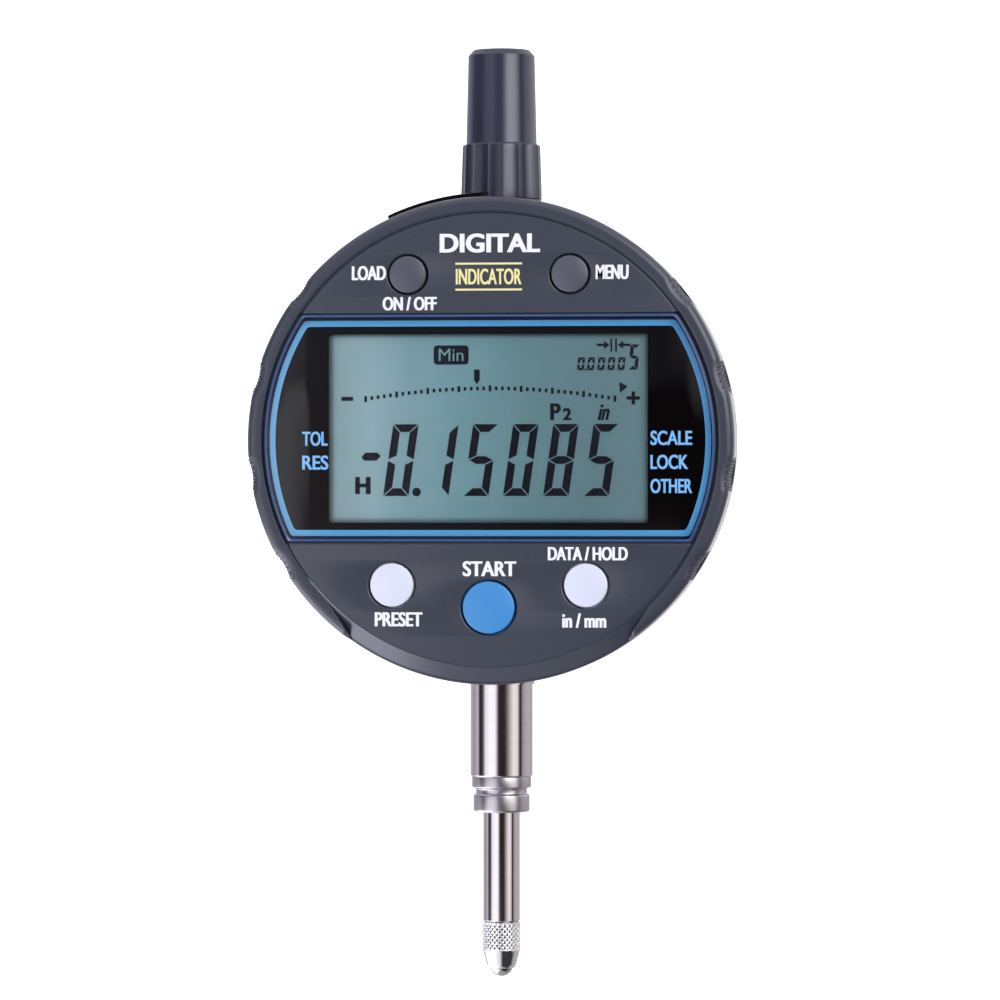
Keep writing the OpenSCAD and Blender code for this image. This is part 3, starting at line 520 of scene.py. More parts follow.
# Front case: a ring with its rim, groove, lower bevel and grip scallops, and the panel
SCALLOPS = [a for right in (38, 15.2, -8, -31) for a in (right, 180 - right)]
SCALLOP_R = 6.5
SCALLOP_DEEP = 0.5
SCALLOP_LOW = 8.6
KNURL_PITCH = 0.8
KNURL_DEEP = 0.3
BAY = {"angle": 102.7, "half": 6.65, "low": UNIT_BACK - 1, "high": 12.4}
PORT = {"angle": 66, "half": 4.9, "low": 7.8, "high": 11.2}
RIM_END = [Vector((25, -13)), Vector((12.9, -31.8))]
RING_IN = PANEL_R - 0.35
GROOVE_DEEP = 0.28
FINE_STEP = 0.22
FINE_STEPS = 24
BEVEL_FROM = 214
BEVEL_TO = 327
BUTTON_GAP = 0.25


def button_place(name):
    low, high = box_mm(name)
    return (low.x + high.x) / 2, (low.z + high.z) / 2 - DIAL_Z, (high.x - low.x) / 2 - 0.55


BUTTONS = {n: button_place(n) for n in
           ("power_button", "menu_button", "preset_button", "start_button", "hold_button")}


def scallop(angle):
    """Outer radius at an angle in degrees, and how deep the scallop is there."""
    reach = DIAL_R + SCALLOP_R - SCALLOP_DEEP
    for centre in SCALLOPS:
        off = math.radians((angle - centre + 180) % 360 - 180)
        if abs(off) < 0.2 and abs(reach * math.sin(off)) < SCALLOP_R:
            r = reach * math.cos(off) - math.sqrt(SCALLOP_R**2 - (reach * math.sin(off))**2)
            if r < DIAL_R:
                return r, DIAL_R - r
    return DIAL_R, 0.0


def rim_cut(angle):
    """Radius out to which the lower bevel reaches, past the straight ends of the rim."""
    c, s = abs(math.cos(math.radians(angle))), math.sin(math.radians(angle))
    if RIM_IN * s > RIM_END[0].y:
        return RIM_IN
    along = RIM_END[1] - RIM_END[0]
    normal = Vector((-along.y, along.x))
    reach = normal.dot(RIM_END[0]) / normal.dot(Vector((c, s)))
    return min(max(RIM_IN, reach), DIAL_R - LIP)


def bevel_height(r):
    return PANEL - 0.02 - BEVEL_DROP * (r - PANEL_R) / (DIAL_R - PANEL_R)


def in_window(angle):
    v = LENS_R * math.sin(math.radians(angle))
    return -LENS_BOTTOM - WINDOW_GAP < v < LENS_TOP + WINDOW_GAP


def groove_height(angle, r):
    if in_window(angle):
        return MASK_BACK - 0.05
    below = smooth((math.degrees(math.asin(math.sin(math.radians(angle)))) + 40) / 6)
    deep = math.sin(math.pi * min(1, max(0, (r - PANEL_R + 0.1) / (RIM_IN - PANEL_R))))
    return bevel_height(r) - GROOVE_DEEP * below * deep


def steps_between(high, low, step):
    count = max(1, math.ceil((high - low) / step))
    return [mix(high, low, k / count) for k in range(count)]


SIDE_TOP = 13.3
SIDE_LOW = UNIT_BACK + 0.25
SIDE_ROWS = (steps_between(SIDE_TOP, BAY["high"], 0.19)
             + steps_between(BAY["high"], PORT["high"], 0.19)
             + steps_between(PORT["high"], SCALLOP_LOW, 0.19)
             + [SCALLOP_LOW, SCALLOP_LOW - 0.04, SCALLOP_LOW - 0.14]
             + steps_between(SCALLOP_LOW - 0.3, PORT["low"], 0.3)
             + steps_between(PORT["low"], SIDE_LOW, 0.19) + [SIDE_LOW])


def knurl(angle, h, deep):
    """Height of the diamond knurl that stands on a scallop's floor."""
    along = math.radians(angle) * DIAL_R
    a, b = math.pi * (along + h) / KNURL_PITCH, math.pi * (along - h) / KNURL_PITCH
    ends = smooth((h - SCALLOP_LOW) / 0.1) * smooth((RIM_H - 0.05 - h) / 0.35)
    return KNURL_DEEP * abs(math.sin(a) * math.sin(b)) * ends * smooth((deep - 0.06) / 0.14)


def side_radius(outer, angle, h, deep):
    """Outer radius of the side wall: round at the back, scalloped and knurled in front."""
    if h < SCALLOP_LOW - 0.01:
        return DIAL_R - 0.02 if h > SCALLOP_LOW - 0.1 else DIAL_R
    return outer + knurl(angle, h, deep)


def ring_section(angle):
    """One closed section of the ring as (radius, height) points, from under the panel's edge
    over the rim, down the side wall and back up inside, and its first wall point's number."""
    outer, deep = scallop(angle)
    cut = rim_cut(angle)
    full = 1 - smooth((cut - (DIAL_R - LIP - 0.5)) / 0.5)
    edge = mix(LIP_ROUND, RIM_ROUND, full)
    top = mix(bevel_height(DIAL_R) + 0.12, RIM_H, full)

    def rim_top(r):
        past = max(0.0, r - (outer - edge))
        return top - edge + math.sqrt(max(0.0, edge**2 - past**2))

    under = MASK_BACK - 0.05 if in_window(angle) else PANEL - 0.9
    section = [(RING_IN, PANEL - PANEL_T), (RING_IN, under)]
    for k in range(6):
        r = mix(PANEL_R - 0.08, RIM_IN - 0.04, k / 5)
        section.append((r, groove_height(angle, r)))
    foot = groove_height(angle, RIM_IN) if in_window(angle) else bevel_height(cut) - 0.06
    for k in range(1, 4):
        r = mix(RIM_IN - 0.03, cut - 0.015, k / 3)
        section.append((r, foot if in_window(angle) else bevel_height(r)))
    notch = 0.1 * (1 - full)
    section.append((cut, foot - notch))
    section.append((cut + 0.02, max(foot - notch + 0.01, rim_top(cut) - 0.07)))
    section.append((cut + 0.05, max(foot - notch + 0.02, rim_top(cut + 0.05) - 0.02)))
    for k in range(3):
        r = mix(cut + 0.11, max(cut + 0.12, outer - edge), k / 3)
        section.append((r, rim_top(r)))
    first = max(cut + 0.12, outer - edge)
    for k in range(7):
        start = math.asin(min(1, max(0, (first - outer + edge) / edge)))
        turn = mix(start, math.pi / 2, k / 6)
        h = top - edge + edge * math.cos(turn)
        grip = knurl(angle, h, deep) * math.sin(turn)
        section.append((outer - edge + edge * math.sin(turn) + grip, h))
    wall_top = top - edge
    for k in range(1, 6):
        h = mix(wall_top, SIDE_TOP, k / 6)
        section.append((outer + knurl(angle, h, deep), h))
    wall_start = len(section)
    section += [(side_radius(outer, angle, h, deep), h) for h in SIDE_ROWS]
    section += [(DIAL_R - 0.07, UNIT_BACK + 0.07), (DIAL_R - 0.25, UNIT_BACK)]
    section += [(WALL_IN, h) for h in reversed(SIDE_ROWS)]
    section.append((WALL_IN, PANEL - PANEL_T))
    return section, wall_start


def edge_angles(opening, r):
    half = math.degrees(math.asin(opening["half"] / r))
    return opening["angle"] - half, opening["angle"] + half


def ring_angles():
    """Angles of the ring's sections: close together in the scallops and at the rim's ends."""
    fixed = [a for opening in (BAY, PORT) for a in edge_angles(opening, DIAL_R)]
    for v in (LENS_TOP + WINDOW_GAP, -LENS_BOTTOM - WINDOW_GAP):
        corner = math.degrees(math.asin(v / LENS_R))
        fixed += [corner + d for d in (-0.04, 0.04)] + [180 - corner + d for d in (-0.04, 0.04)]
    loose = [c + d * FINE_STEP for c in SCALLOPS for d in range(-FINE_STEPS, FINE_STEPS + 1)]
    loose += [a * 0.5 for a in range(2 * BEVEL_FROM, 2 * BEVEL_TO)]
    loose += [a * 1.5 for a in range(240)]
    fixed = [a % 360 for a in fixed]
    angles = sorted(a % 360 for a in loose)
    kept = []
    for a in angles:
        if all(abs(a - f) > 0.1 for f in fixed) and (not kept or a - kept[-1] > 0.15):
            kept.append(a)
    return sorted(kept + fixed)


def inner_angle(angle):
    """Angle of the wall's inside: an opening's sides run square to the wall."""
    for opening in (BAY, PORT):
        outside, inside = edge_angles(opening, DIAL_R), edge_angles(opening, WALL_IN)
        for a, b in zip(outside, inside):
            if abs(a - angle) < 1e-6:
                return b
    return angle


def case_ring():
    angles = ring_angles()
    rows, wall_start = [], 0
    for angle in angles:
        section, wall_start = ring_section(angle)
        inside = wall_start + len(SIDE_ROWS) + 2
        row = []
        for i, (r, h) in enumerate(section):
            a = math.radians(inner_angle(angle) if i >= inside and r == WALL_IN else angle)
            row.append(face_point(r * math.cos(a), r * math.sin(a), h))
        rows.append(row)
    size, count, walls = len(rows[0]), len(rows), len(SIDE_ROWS)
    last = wall_start + 2 * walls + 1

    def level(i):
        """Height of the wall at point i of a section, for the outside and the inside."""
        if i < wall_start or i > last:
            return PANEL
        if i < wall_start + walls:
            return SIDE_ROWS[i - wall_start]
        if i < wall_start + walls + 2:
            return UNIT_BACK
        return SIDE_ROWS[last - i]

    def at(j, i):
        return j % count * size + i % size

    def opening_at(j, i):
        a, b = angles[j], angles[(j + 1) % count]
        for opening in (BAY, PORT):
            low, high = edge_angles(opening, DIAL_R)
            if low - 1e-6 <= a and b <= high + 1e-6 and b > a:
                top = max(level(i), level((i + 1) % size))
                bottom = min(level(i), level((i + 1) % size))
                if top <= opening["high"] + 1e-6 and bottom >= opening["low"] - 1e-6:
                    return opening
        return None

    faces = []
    for j in range(count):
        faces += [(at(j, i), at(j + 1, i), at(j + 1, i + 1), at(j, i + 1))
                  for i in range(size) if not opening_at(j, i)]
    for opening in (BAY, PORT):
        low, high = edge_angles(opening, DIAL_R)
        first = min(range(count), key=lambda j: abs(angles[j] - low))
        stop = min(range(count), key=lambda j: abs(angles[j] - high))
        wall = [i for i in range(walls)
                if opening["low"] - 1e-6 <= SIDE_ROWS[i] <= opening["high"] + 1e-6]
        for j in (first, stop):
            for i in wall[:-1]:
                out, into = wall_start + i, last - i
                faces.append((at(j, out), at(j, out + 1), at(j, into - 1), at(j, into)))
        for i in (wall[0], wall[-1]) if opening["low"] > UNIT_BACK else wall[:1]:
            out, into = wall_start + i, last - i
            faces += [(at(j, out), at(j + 1, out), at(j + 1, into), at(j, into))
                      for j in range(first, stop)]
        if opening["low"] < UNIT_BACK:
            back = wall_start + walls
            faces += [tuple(at(j, back + i) for i in (-1, 0, 1, 2)) for j in (first, stop)]
    return [p for row in rows for p in row], faces


def chord_plate(chord, above):
    """Outline of the panel's part above or below a level chord."""
    side = 1 if above else -1
    start = math.asin(side * chord / PANEL_R)
    count = 150
    turns = [mix(start, math.pi - start, k / count) for k in range(count + 1)]
    outline = [Vector((PANEL_R * math.cos(t), side * PANEL_R * math.sin(t))) for t in turns]
    level = [outline[-1].lerp(outline[0], k / 200) for k in range(1, 200)]
    return softened(outline + level, 2)


def front_case():
    """The ring, the two parts of the panel and the ledge that carries the window."""
    upper = [chord_plate(LENS_TOP + WINDOW_GAP, True)]
    lower = [chord_plate(-LENS_BOTTOM - WINDOW_GAP, False)]
    for u, v, r in BUTTONS.values():
        (upper if v > 0 else lower).append(circle(u, v, r + BUTTON_GAP))
    ledge = [circle(0, 0, PANEL_R + 0.3, 180),
             rectangle(lcd_low.x - 0.2, lcd_low.z - DIAL_Z - 0.2,
                       lcd_high.x + 0.2, lcd_high.z - DIAL_Z + 0.2)]
    ledge += [circle(u, v, r + BUTTON_GAP) for u, v, r in BUTTONS.values()]
    parts = [case_ring(), plate(upper, PANEL - PANEL_T, PANEL, 0.2),
             plate(lower, PANEL - PANEL_T, PANEL, 0.2),
             plate(ledge, PANEL - PANEL_T - 0.01, MASK_BACK - 0.02)]
    points, faces = joined(parts)
    centre = Vector((0, 0, DIAL_Z * MM))

    def on_wall(i):
        """1 where a face lies on the outer wall, which is moulded glossier, otherwise 0."""
        corners = [points[k] - centre for k in faces[i]]
        return int(all(-p.y < SIDE_TOP * MM and p.xz.length > (DIAL_R - 0.6) * MM
                       for p in corners))

    add_piece("front_case_shell", "display", "case_plastic", [SLOTS["case_plastic"], WALL_PLASTIC],
              ["front_case"], points, faces, paint=on_wall)


# Window: lens, printed mask and display
LENS_BEVEL = 0.3
NAVY_IN = (0.54, 0.73)
BLUE_IN = (1.26, 1.48)
VIEW = (-20.3, -10.3, 19.9, 13.35)


def window_lens():
    rings = [(0.0, LENS_BACK + 0.02), (0.0, LENS_FRONT - 0.32), (0.05, LENS_FRONT - 0.26),
             (LENS_BEVEL - 0.04, LENS_FRONT - 0.02), (LENS_BEVEL + 0.03, LENS_FRONT)]
    rows = [[face_point(p.x, p.y, h) for p in window_outline(inset)] for inset, h in rings]
    points, faces = skin(rows)
    size = len(rows[0])
    side_faces = len(faces)
    faces += [tuple(range(size))[::-1], tuple(range(4 * size, 5 * size))]
    add_piece("window_lens_sheet", "display", "clear_lens", [SLOTS["clear_lens"], LENS_EDGE],
              ["window_lens"], points, faces, paint=lambda i: int(i < side_faces))


def printed(name, material, shape, replaces=(), slot="mask_print"):
    """A printed layer of the display unit, from its (points, faces)."""
    add_piece(name, "display", slot, [material], replaces, *shape)


def window_mask():
    edges = [window_outline(*inset) for inset in ((0.02, 0.02), NAVY_IN, BLUE_IN)]
    edges.append(rectangle(*VIEW, 0.35))
    layers = [plate(edges[i:i + 2], MASK_BACK, MASK_FRONT) for i in range(3)]
    printed("window_mask_film", SLOTS["mask_print"], layers[2], ["window_mask"])
    printed("window_border_navy", NAVY_PRINT, layers[0])
    printed("window_border_blue", BLUE_PRINT, layers[1])


def slab(name, slot, inset, low, high, edge, replaced):
    """A rounded sheet of the display cell, inset from the CAD panel's sides."""
    sides = (lcd_low.x + inset, lcd_low.z - DIAL_Z + inset,
             lcd_high.x - inset, lcd_high.z - DIAL_Z - inset)
    points, faces = plate([rectangle(*sides, 0.2)], low, high, edge)
    add_piece(name, "display", slot, (), [replaced], points, faces)


CELL_SPLIT = LCD_FRONT - 0.5
INK_T = 0.03
INK_LAYER = 0.006


def display_cell():
    """The front sheet of glass over the grey-green film, with room between them for the segments.
    """
    slab("lcd_front_glass", "lcd_glass", 0, CELL_SPLIT + INK_T + 0.01, LCD_FRONT, 0.05,
         "lcd_panel")
    slab("lcd_film", "silver_film", 0.3, CELL_SPLIT - 0.04, CELL_SPLIT - 0.01, 0.005,
         "lcd_reflector")


SEGMENTS = {"0": "abcdef", "1": "bc", "5": "afgcd", "8": "abcdefg"}
SLANT = 0.144


def segment_shapes(width, tall, thick, gap):
    """Outlines of a seven-segment digit's bars, before the slant."""
    w, t, mid, half, g = width, thick, tall / 2, thick / 2, gap
    top = [(g, tall), (w - g, tall), (w - t - g, tall - t), (t + g, tall - t)]
    upper = [(0, tall - g), (t, tall - t - g), (t, mid + half + g), (0, mid + g)]
    level = [(1.6 * g, mid), (t + g, mid + half), (w - t - g, mid + half), (w - 1.6 * g, mid),
             (w - t - g, mid - half), (t + g, mid - half)]
    flip = [(x, tall - y) for x, y in upper]
    return {"a": top, "d": [(x, tall - y) for x, y in top], "f": upper, "e": flip,
            "b": [(w - x, y) for x, y in upper], "c": [(w - x, y) for x, y in flip], "g": level}


def digit(value, u, v, width, tall, thick, gap=0.1, slant=SLANT):
    shapes = segment_shapes(width, tall, thick, gap)
    return [[(u + x + slant * y, v + y) for x, y in shapes[s]] for s in SEGMENTS[value]]


def bar(left, bottom, right, top):
    return [(left, bottom), (right, bottom), (right, top), (left, top)]


def arrow(tip, v, side):
    """A small arrow with its point at tip; side is 1 where it points right."""
    return [[(tip, v), (tip - side * 0.7, v + 0.5), (tip - side * 0.7, v - 0.5)],
            bar(min(tip - side * 0.5, tip - side * 1.6), v - 0.15,
                max(tip - side * 0.5, tip - side * 1.6), v + 0.15)]


BIG = {"u": -13.5, "v": -6.94, "pitch": 5.05, "width": 3.2, "tall": 9.0, "thick": 0.97}
TICKS = 20
TICK_PITCH = 0.786
TICK_ARC = 94.3
TICK_TOP = 6.55


def segment_outlines():
    outlines = []
    for i, value in enumerate("015085"):
        outlines += digit(value, BIG["u"] + i * BIG["pitch"], BIG["v"], BIG["width"], BIG["tall"],
                          BIG["thick"])
    outlines.append(circle(-9.27, -6.45, 0.54, 32))
    outlines.append([(-16.25, -2.05), (-15.75, -1.5), (-14.2, -1.5), (-13.8, -1.95),
                     (-14.35, -2.5), (-15.9, -2.5)])
    for i in range(5):
        outlines += digit("0", 10.95 + i * 1.27, 8.8, 0.86, 1.6, 0.31, 0.03, 0.1)
    outlines.append(circle(12.05, 8.88, 0.13, 16))
    outlines += digit("5", 17.4, 8.85, 1.15, 3.15, 0.42, 0.04, 0.1)
    for i in range(-TICKS, TICKS + 1):
        at, tall = i * TICK_PITCH, 0.76 if i % 5 == 0 else 0.46
        middle = TICK_TOP - TICK_ARC + math.sqrt(TICK_ARC**2 - at**2)
        outlines.append(bar(at - 0.165, middle - tall / 2, at + 0.165, middle + tall / 2))
    outlines.append([(-2.0, 8.9), (-1.3, 8.9), (-1.3, 7.6), (-1.65, 7.05), (-2.0, 7.6)])
    outlines.append(bar(-18.8, 5.02, -17.3, 5.52))
    outlines += [bar(17.2, 5.1, 18.85, 5.52), bar(17.82, 4.5, 18.24, 6.12)]
    outlines.append([(16.25, 7.35), (16.35, 5.95), (17.3, 6.75)])
    outlines += [bar(15.15, 11.1, 15.37, 12.75), bar(15.75, 11.1, 15.97, 12.75)]
    outlines += arrow(15.05, 11.95, 1) + arrow(16.07, 11.95, -1)
    outlines += [bar(-17.05, -6.7, -16.45, -4.55), bar(-15.7, -6.7, -15.1, -4.55),
                 bar(-16.45, -5.85, -15.7, -5.4)]
    return outlines


def prisms(outlines, low, high):
    """A flat-topped prism on each outline, as one mesh."""
    parts = []
    for outline in outlines:
        count = len(outline)
        points = [face_point(u, v, h) for h in (low, high) for u, v in outline]
        faces = [tuple(range(count)), tuple(range(count, 2 * count))]
        faces += [(i, (i + 1) % count, count + (i + 1) % count, count + i) for i in range(count)]
        parts.append((points, faces))
    return joined(parts)


def display_segments():
    shape = prisms(segment_outlines(), CELL_SPLIT, CELL_SPLIT + INK_T)
    printed("lcd_segments", SEGMENT_INK, shape)


# Lettering: plain words, fitted to a width and a cap height
def word(text, left, right, bottom, top, h, weight=0.012, lean=0.0):
    """The word as a thin mesh of (points, faces), fitted to the box in the display's frame."""
    letters = bpy.data.curves.new("word", "FONT")
    letters.body = text
    letters.offset = weight
    letters.shear = lean
    letters.extrude = 0.02
    letters.resolution_u = 6

    def fitted(found):
        xs, ys = [p.x for p in found], [p.y for p in found]
        across = (right - left) / (max(xs) - min(xs))
        up = (top - bottom) / (max(ys) - min(ys))
        return [face_point(left + (p.x - min(xs)) * across, bottom + (p.y - min(ys)) * up,
                           h + p.z * 0.5) for p in found]

    return curve_mesh(letters, fitted)


def print_words(name, material, words, h, bold=0.07, extra=()):
    """Words printed in three shifted layers, which thickens their upright strokes."""
    prints = list(extra)
    for text, left, right, bottom, top, *more in words:
        for layer, shift in enumerate((-bold, bold, 0)):
            prints.append(word(text, left + shift, right + shift, bottom, top,
                               h + layer * INK_LAYER, *more))
    slot = "white_button" if material is WHITE_INK else "mask_print"
    printed(name, material, joined(prints), slot=slot)


def lettering():
    on_panel = PANEL + 0.006
    print_words("words_white", WHITE_INK, [
        ("DIGITAL", -6.1, 6.4, 23.5, 25.9, 0.02),
        ("LOAD", -17.2, -13.0, 20.1, 21.9),
        ("ON / OFF", -13.3, -6.6, 16.3, 18.0),
        ("MENU", 13.5, 17.5, 20.1, 21.9),
        ("START", -3.2, 3.4, -17.0, -15.1),
        ("PRESET", -14.3, -8.4, -23.3, -21.5),
        ("DATA / HOLD", 7.5, 17.4, -15.0, -13.3),
        ("in / mm", 9.3, 14.7, -23.4, -21.6)], on_panel)
    lines = prisms([bar(-4.2, 22.0, 4.2, 22.25), bar(-4.2, 18.75, 4.2, 19.0)],
                   PANEL - 0.01, PANEL + 0.015)
    print_words("words_yellow", YELLOW_INK, [("INDICATOR", -4.1, 4.1, 19.5, 21.5, 0.01)],
                on_panel, 0.04, [lines])
    print_words("words_blue", LIGHT_BLUE_INK, [
        ("TOL", -23.65, -20.5, -0.65, 1.15), ("RES", -23.65, -20.4, -3.65, -1.85),
        ("SCALE", 20.25, 25.4, -0.6, 1.2), ("LOCK", 20.25, 24.9, -3.6, -1.8),
        ("OTHER", 20.25, 25.4, -6.6, -4.8)], MASK_FRONT + 0.006, 0.04)
    print_words("lcd_words", SEGMENT_INK, [
        ("P", 7.65, 8.85, 2.55, 4.65, 0.02), ("2", 9.25, 10.2, 2.55, 4.05, 0.02),
        ("in", 13.6, 15.0, 2.55, 4.5, 0.01, 0.35)], CELL_SPLIT + 0.012)
    box = plate([rectangle(-7.1, 9.55, -2.7, 11.95, 0.45)], CELL_SPLIT, CELL_SPLIT + 0.02)
    printed("lcd_min_box", SEGMENT_INK, box)
    light = word("Min", -6.45, -3.35, 10.0, 11.55, CELL_SPLIT + 0.022, 0.0)
    printed("lcd_min_word", SLOTS["silver_film"], light, slot="silver_film")


# Buttons
CROWN = 0.3


def buttons():
    colors = ("grey", "grey", "white", "blue", "white")
    for color, (name, (u, v, r)) in zip(colors, BUTTONS.items()):
        low, high = box_mm(name)
        base, top = -high.y, -low.y
        dome_r = (r * r + CROWN * CROWN) / (2 * CROWN)
        dome = [(r * k / 8, top - dome_r + math.sqrt(dome_r**2 - (r * k / 8)**2))
                for k in range(8)]
        rim = top - CROWN
        flange = PANEL - PANEL_T - 0.05
        corners = [(0, base), (1.4, base), (1.4, flange - 0.43), (r + 0.55, flange - 0.43),
                   (r + 0.55, flange), (r, flange, 0.1), (r, rim - 0.02, 0.16), dome[-1]]
        profile = rounded(corners, 6) + [Vector(p) for p in reversed(dome[:-1])]
        points, faces = lathe(profile, on_face(u, v), segments=96)
        add_piece(name.replace("_button", "_cap"), name.replace("_button", "_key"),
                  color + "_button", replaces=[name], points=points, faces=faces)


# Stem, spindle, contact and cap
def turned(name, body, slot, corners, replaces, closed=True, materials=()):
    points, faces = lathe(rounded(corners, 5, closed), axis_point, closed, 128)
    add_piece(name, body, slot, materials, replaces, points, faces)


BOSS_R = STEM_R + 0.25
BOSS_STEP = 1.1


def stem_parts():
    high = box_mm("stem")[1]
    bore = 3.0
    top_r = high.x
    length = frame["record"]["mounts"][0]["dims"]["length_mm"]
    shoulder, boss = -length / 2, length / 2
    turned("stem_tube", "case", "ground_steel", [
        (bore, shoulder), (STEM_R - 0.02, shoulder, 0.12), (STEM_R, shoulder + 0.3),
        (STEM_R, boss), (BOSS_R, boss), (BOSS_R, boss + BOSS_STEP),
        (top_r, boss + BOSS_STEP, 0.1), (top_r, high.z, 0.1), (bore, high.z)], ["stem"])
    low, high = box_mm("stem_bush")
    ring, end = high.x, low.z
    turned("stem_bush_ring", "case", "ground_steel", [
        (2.4, high.z), (bore, high.z, 0.1), (bore, shoulder - 0.01), (ring, shoulder - 0.03, 0.12),
        (ring, shoulder - 1.42, 0.16), (3.27, shoulder - 1.62, 0.2), (3.27, shoulder - 2.2, 0.12),
        (3.6, shoulder - 2.42, 0.22), (3.6, end, 0.42), (2.95, end, 0.06), (2.95, end + 0.8),
        (2.95, end + 1.8), (2.4, end + 1.85)], ["stem_bush"], materials=[BRUSHED_STEEL])


KNURL_TURNS = 22
KNURL_BAND = 3.7
LINE_CUT = 0.06
PIT_CUT = 0.26
TIP_R = 1.72


def contact_holder():
    r, end = CONTACT_R, box_mm("contact_holder")[0].z
    top = box_mm("spindle")[0].z
    knurl_low = top - KNURL_BAND
    count = 264
    angles = [2 * math.pi * k / count for k in range(count)]

    def rings(profile):
        return [[axis_point(pr, a, z) for a in angles] for pr, z in profile]

    rows = rings([(0.0, top), (r - 0.42, top), (r - 0.2, top - 0.04), (r - 0.06, top - 0.16)])
    steps = 46
    for k in range(steps + 1):
        z = mix(top - 0.2, knurl_low, k / steps)
        fade = smooth((top - 0.15 - z) / 0.3) * smooth((z - knurl_low + 0.02) / 0.25)
        row = []
        for a in angles:
            turn = KNURL_TURNS * a
            rise = (z - knurl_low) * KNURL_TURNS / r
            one, other = abs(math.sin((turn + rise) / 2)), abs(math.sin((turn - rise) / 2))
            groove = 1 - min(1, min(one, other) * 2)
            pit = max(0, (1 - one**2) * (1 - other**2) * 1.3 - 0.3)
            row.append(axis_point(r - fade * (LINE_CUT * groove + PIT_CUT * pit), a, z))
        rows.append(row)
    knurled = (len(rows) - 1) * count
    cone = [(r - 0.02, knurl_low - 0.04), (r - 0.1, knurl_low - 0.2, 0.3),
            (TIP_R + 0.16, end + 0.4, 0.3), (TIP_R - 0.05, end, 0.15), (1.36, end)]
    rows += rings(rounded(cone, 6)) + rings([(0, end + 0.6)])
    points, faces = skin(rows)
    add_piece("contact_point_holder", "plunger", "steel_parts", [POLISHED_STEEL, KNURLED_STEEL],
              ["contact_holder"], points, faces, 40, lambda i: int(3 * count <= i < knurled))


def contact_ball():
    low, high = box_mm("contact_ball")
    r, middle = (high.x - low.x) / 2, (high.z + low.z) / 2
    profile = [(r * math.sin(math.pi * k / 48), middle - r * math.cos(math.pi * k / 48))
               for k in range(49)]
    points, faces = lathe(profile, axis_point, segments=96)
    add_piece("contact_ball_tip", "plunger", "carbide", replaces=["contact_ball"],
              points=points, faces=faces)


def spindle():
    low, high = box_mm("spindle")
    r = high.x
    turned("spindle_rod", "plunger", "ground_steel", [
        (0, low.z + 0.02), (r, low.z + 0.02, 0.1), (r, high.z, 0.35), (0, high.z)],
        ["spindle"], closed=False)


FLUTES = 16
FLUTE_PHASE = math.radians(-81.5)
FLUTE_DEEP = 0.24
SKIRT_ROUND = 0.3


def spindle_cap():
    low, high = box_mm("spindle_cap")
    base_r, foot, top = high.x, low.z, high.z
    skirt_top, skirt_top_r = DIAL_Z + 38.1, 4.98
    tube_r, top_r, roof = 4.5, 4.25, DIAL_Z + 49
    bore, mouth_r, mouth_top = 3.0, 3.85, DIAL_Z + 35.3
    count = FLUTES * 16
    angles = [2 * math.pi * k / count for k in range(count)]

    def flute(angle):
        part = ((angle - FLUTE_PHASE) * FLUTES / (2 * math.pi)) % 1
        return FLUTE_DEEP * math.sin(math.pi * part) ** 0.8

    def row(r, z, share):
        return [axis_point(r - flute(a) * share, a, z) for a in angles]

    rows = [row(mouth_r, foot, 0), row(base_r - 0.15, foot, 0.8),
            row(base_r - 0.03, foot + 0.06, 1)]
    for share in (k / 12 for k in range(1, 13)):
        rows.append(row(mix(base_r, skirt_top_r, share),
                        mix(foot + 0.2, skirt_top - SKIRT_ROUND, share), 1))
    for turn, share in ((30, 0.95), (60, 0.75), (90, 0.45)):
        t = math.radians(turn)
        rows.append(row(skirt_top_r - SKIRT_ROUND + SKIRT_ROUND * math.cos(t),
                        skirt_top - SKIRT_ROUND + SKIRT_ROUND * math.sin(t), share))
    body = rounded([(skirt_top_r - 0.35, skirt_top), (tube_r + 0.02, skirt_top + 0.03, 0.12),
                    (top_r, top - 0.75, 0.12), (top_r - 0.62, top - 0.02, 0.12), (0, top)], 5)
    rows += [row(p.x, p.y, 0) for p in body[1:]]
    rows += [row(0, roof, 0), row(bore, roof, 0), row(bore, mouth_top, 0),
             row(mouth_r, mouth_top, 0)]
    points, faces = skin(rows, True)
    add_piece("spindle_cap_shell", "top_cap", "cap_plastic", replaces=["spindle_cap"],
              points=points, faces=faces, sharp=30)


# Pieces that keep the CAD shape, with their edges eased
def eased(name, node_name, body, slot, width, corner=32, segments=2):
    """A copy of a CAD node's shape with a small round along its sharp edges."""
    source = frame["nodes"][node_name].data
    made = bmesh.new()
    made.from_mesh(source)
    bmesh.ops.remove_doubles(made, verts=made.verts, dist=1e-6)
    bmesh.ops.dissolve_limit(made, angle_limit=math.radians(1.0), verts=made.verts,
                             edges=made.edges)
    sharp = [e for e in made.edges
             if len(e.link_faces) == 2 and e.calc_face_angle(0) > math.radians(corner)]
    bmesh.ops.bevel(made, geom=sharp, offset=width * MM, segments=segments, profile=0.5,
                    affect="EDGES", clamp_overlap=True)
    points = [v.co.copy() for v in made.verts]
    made.verts.index_update()
    faces = [tuple(v.index for v in f.verts) for f in made.faces]
    made.free()
    add_piece(name, body, slot, replaces=[node_name], points=points, faces=faces, sharp=28)


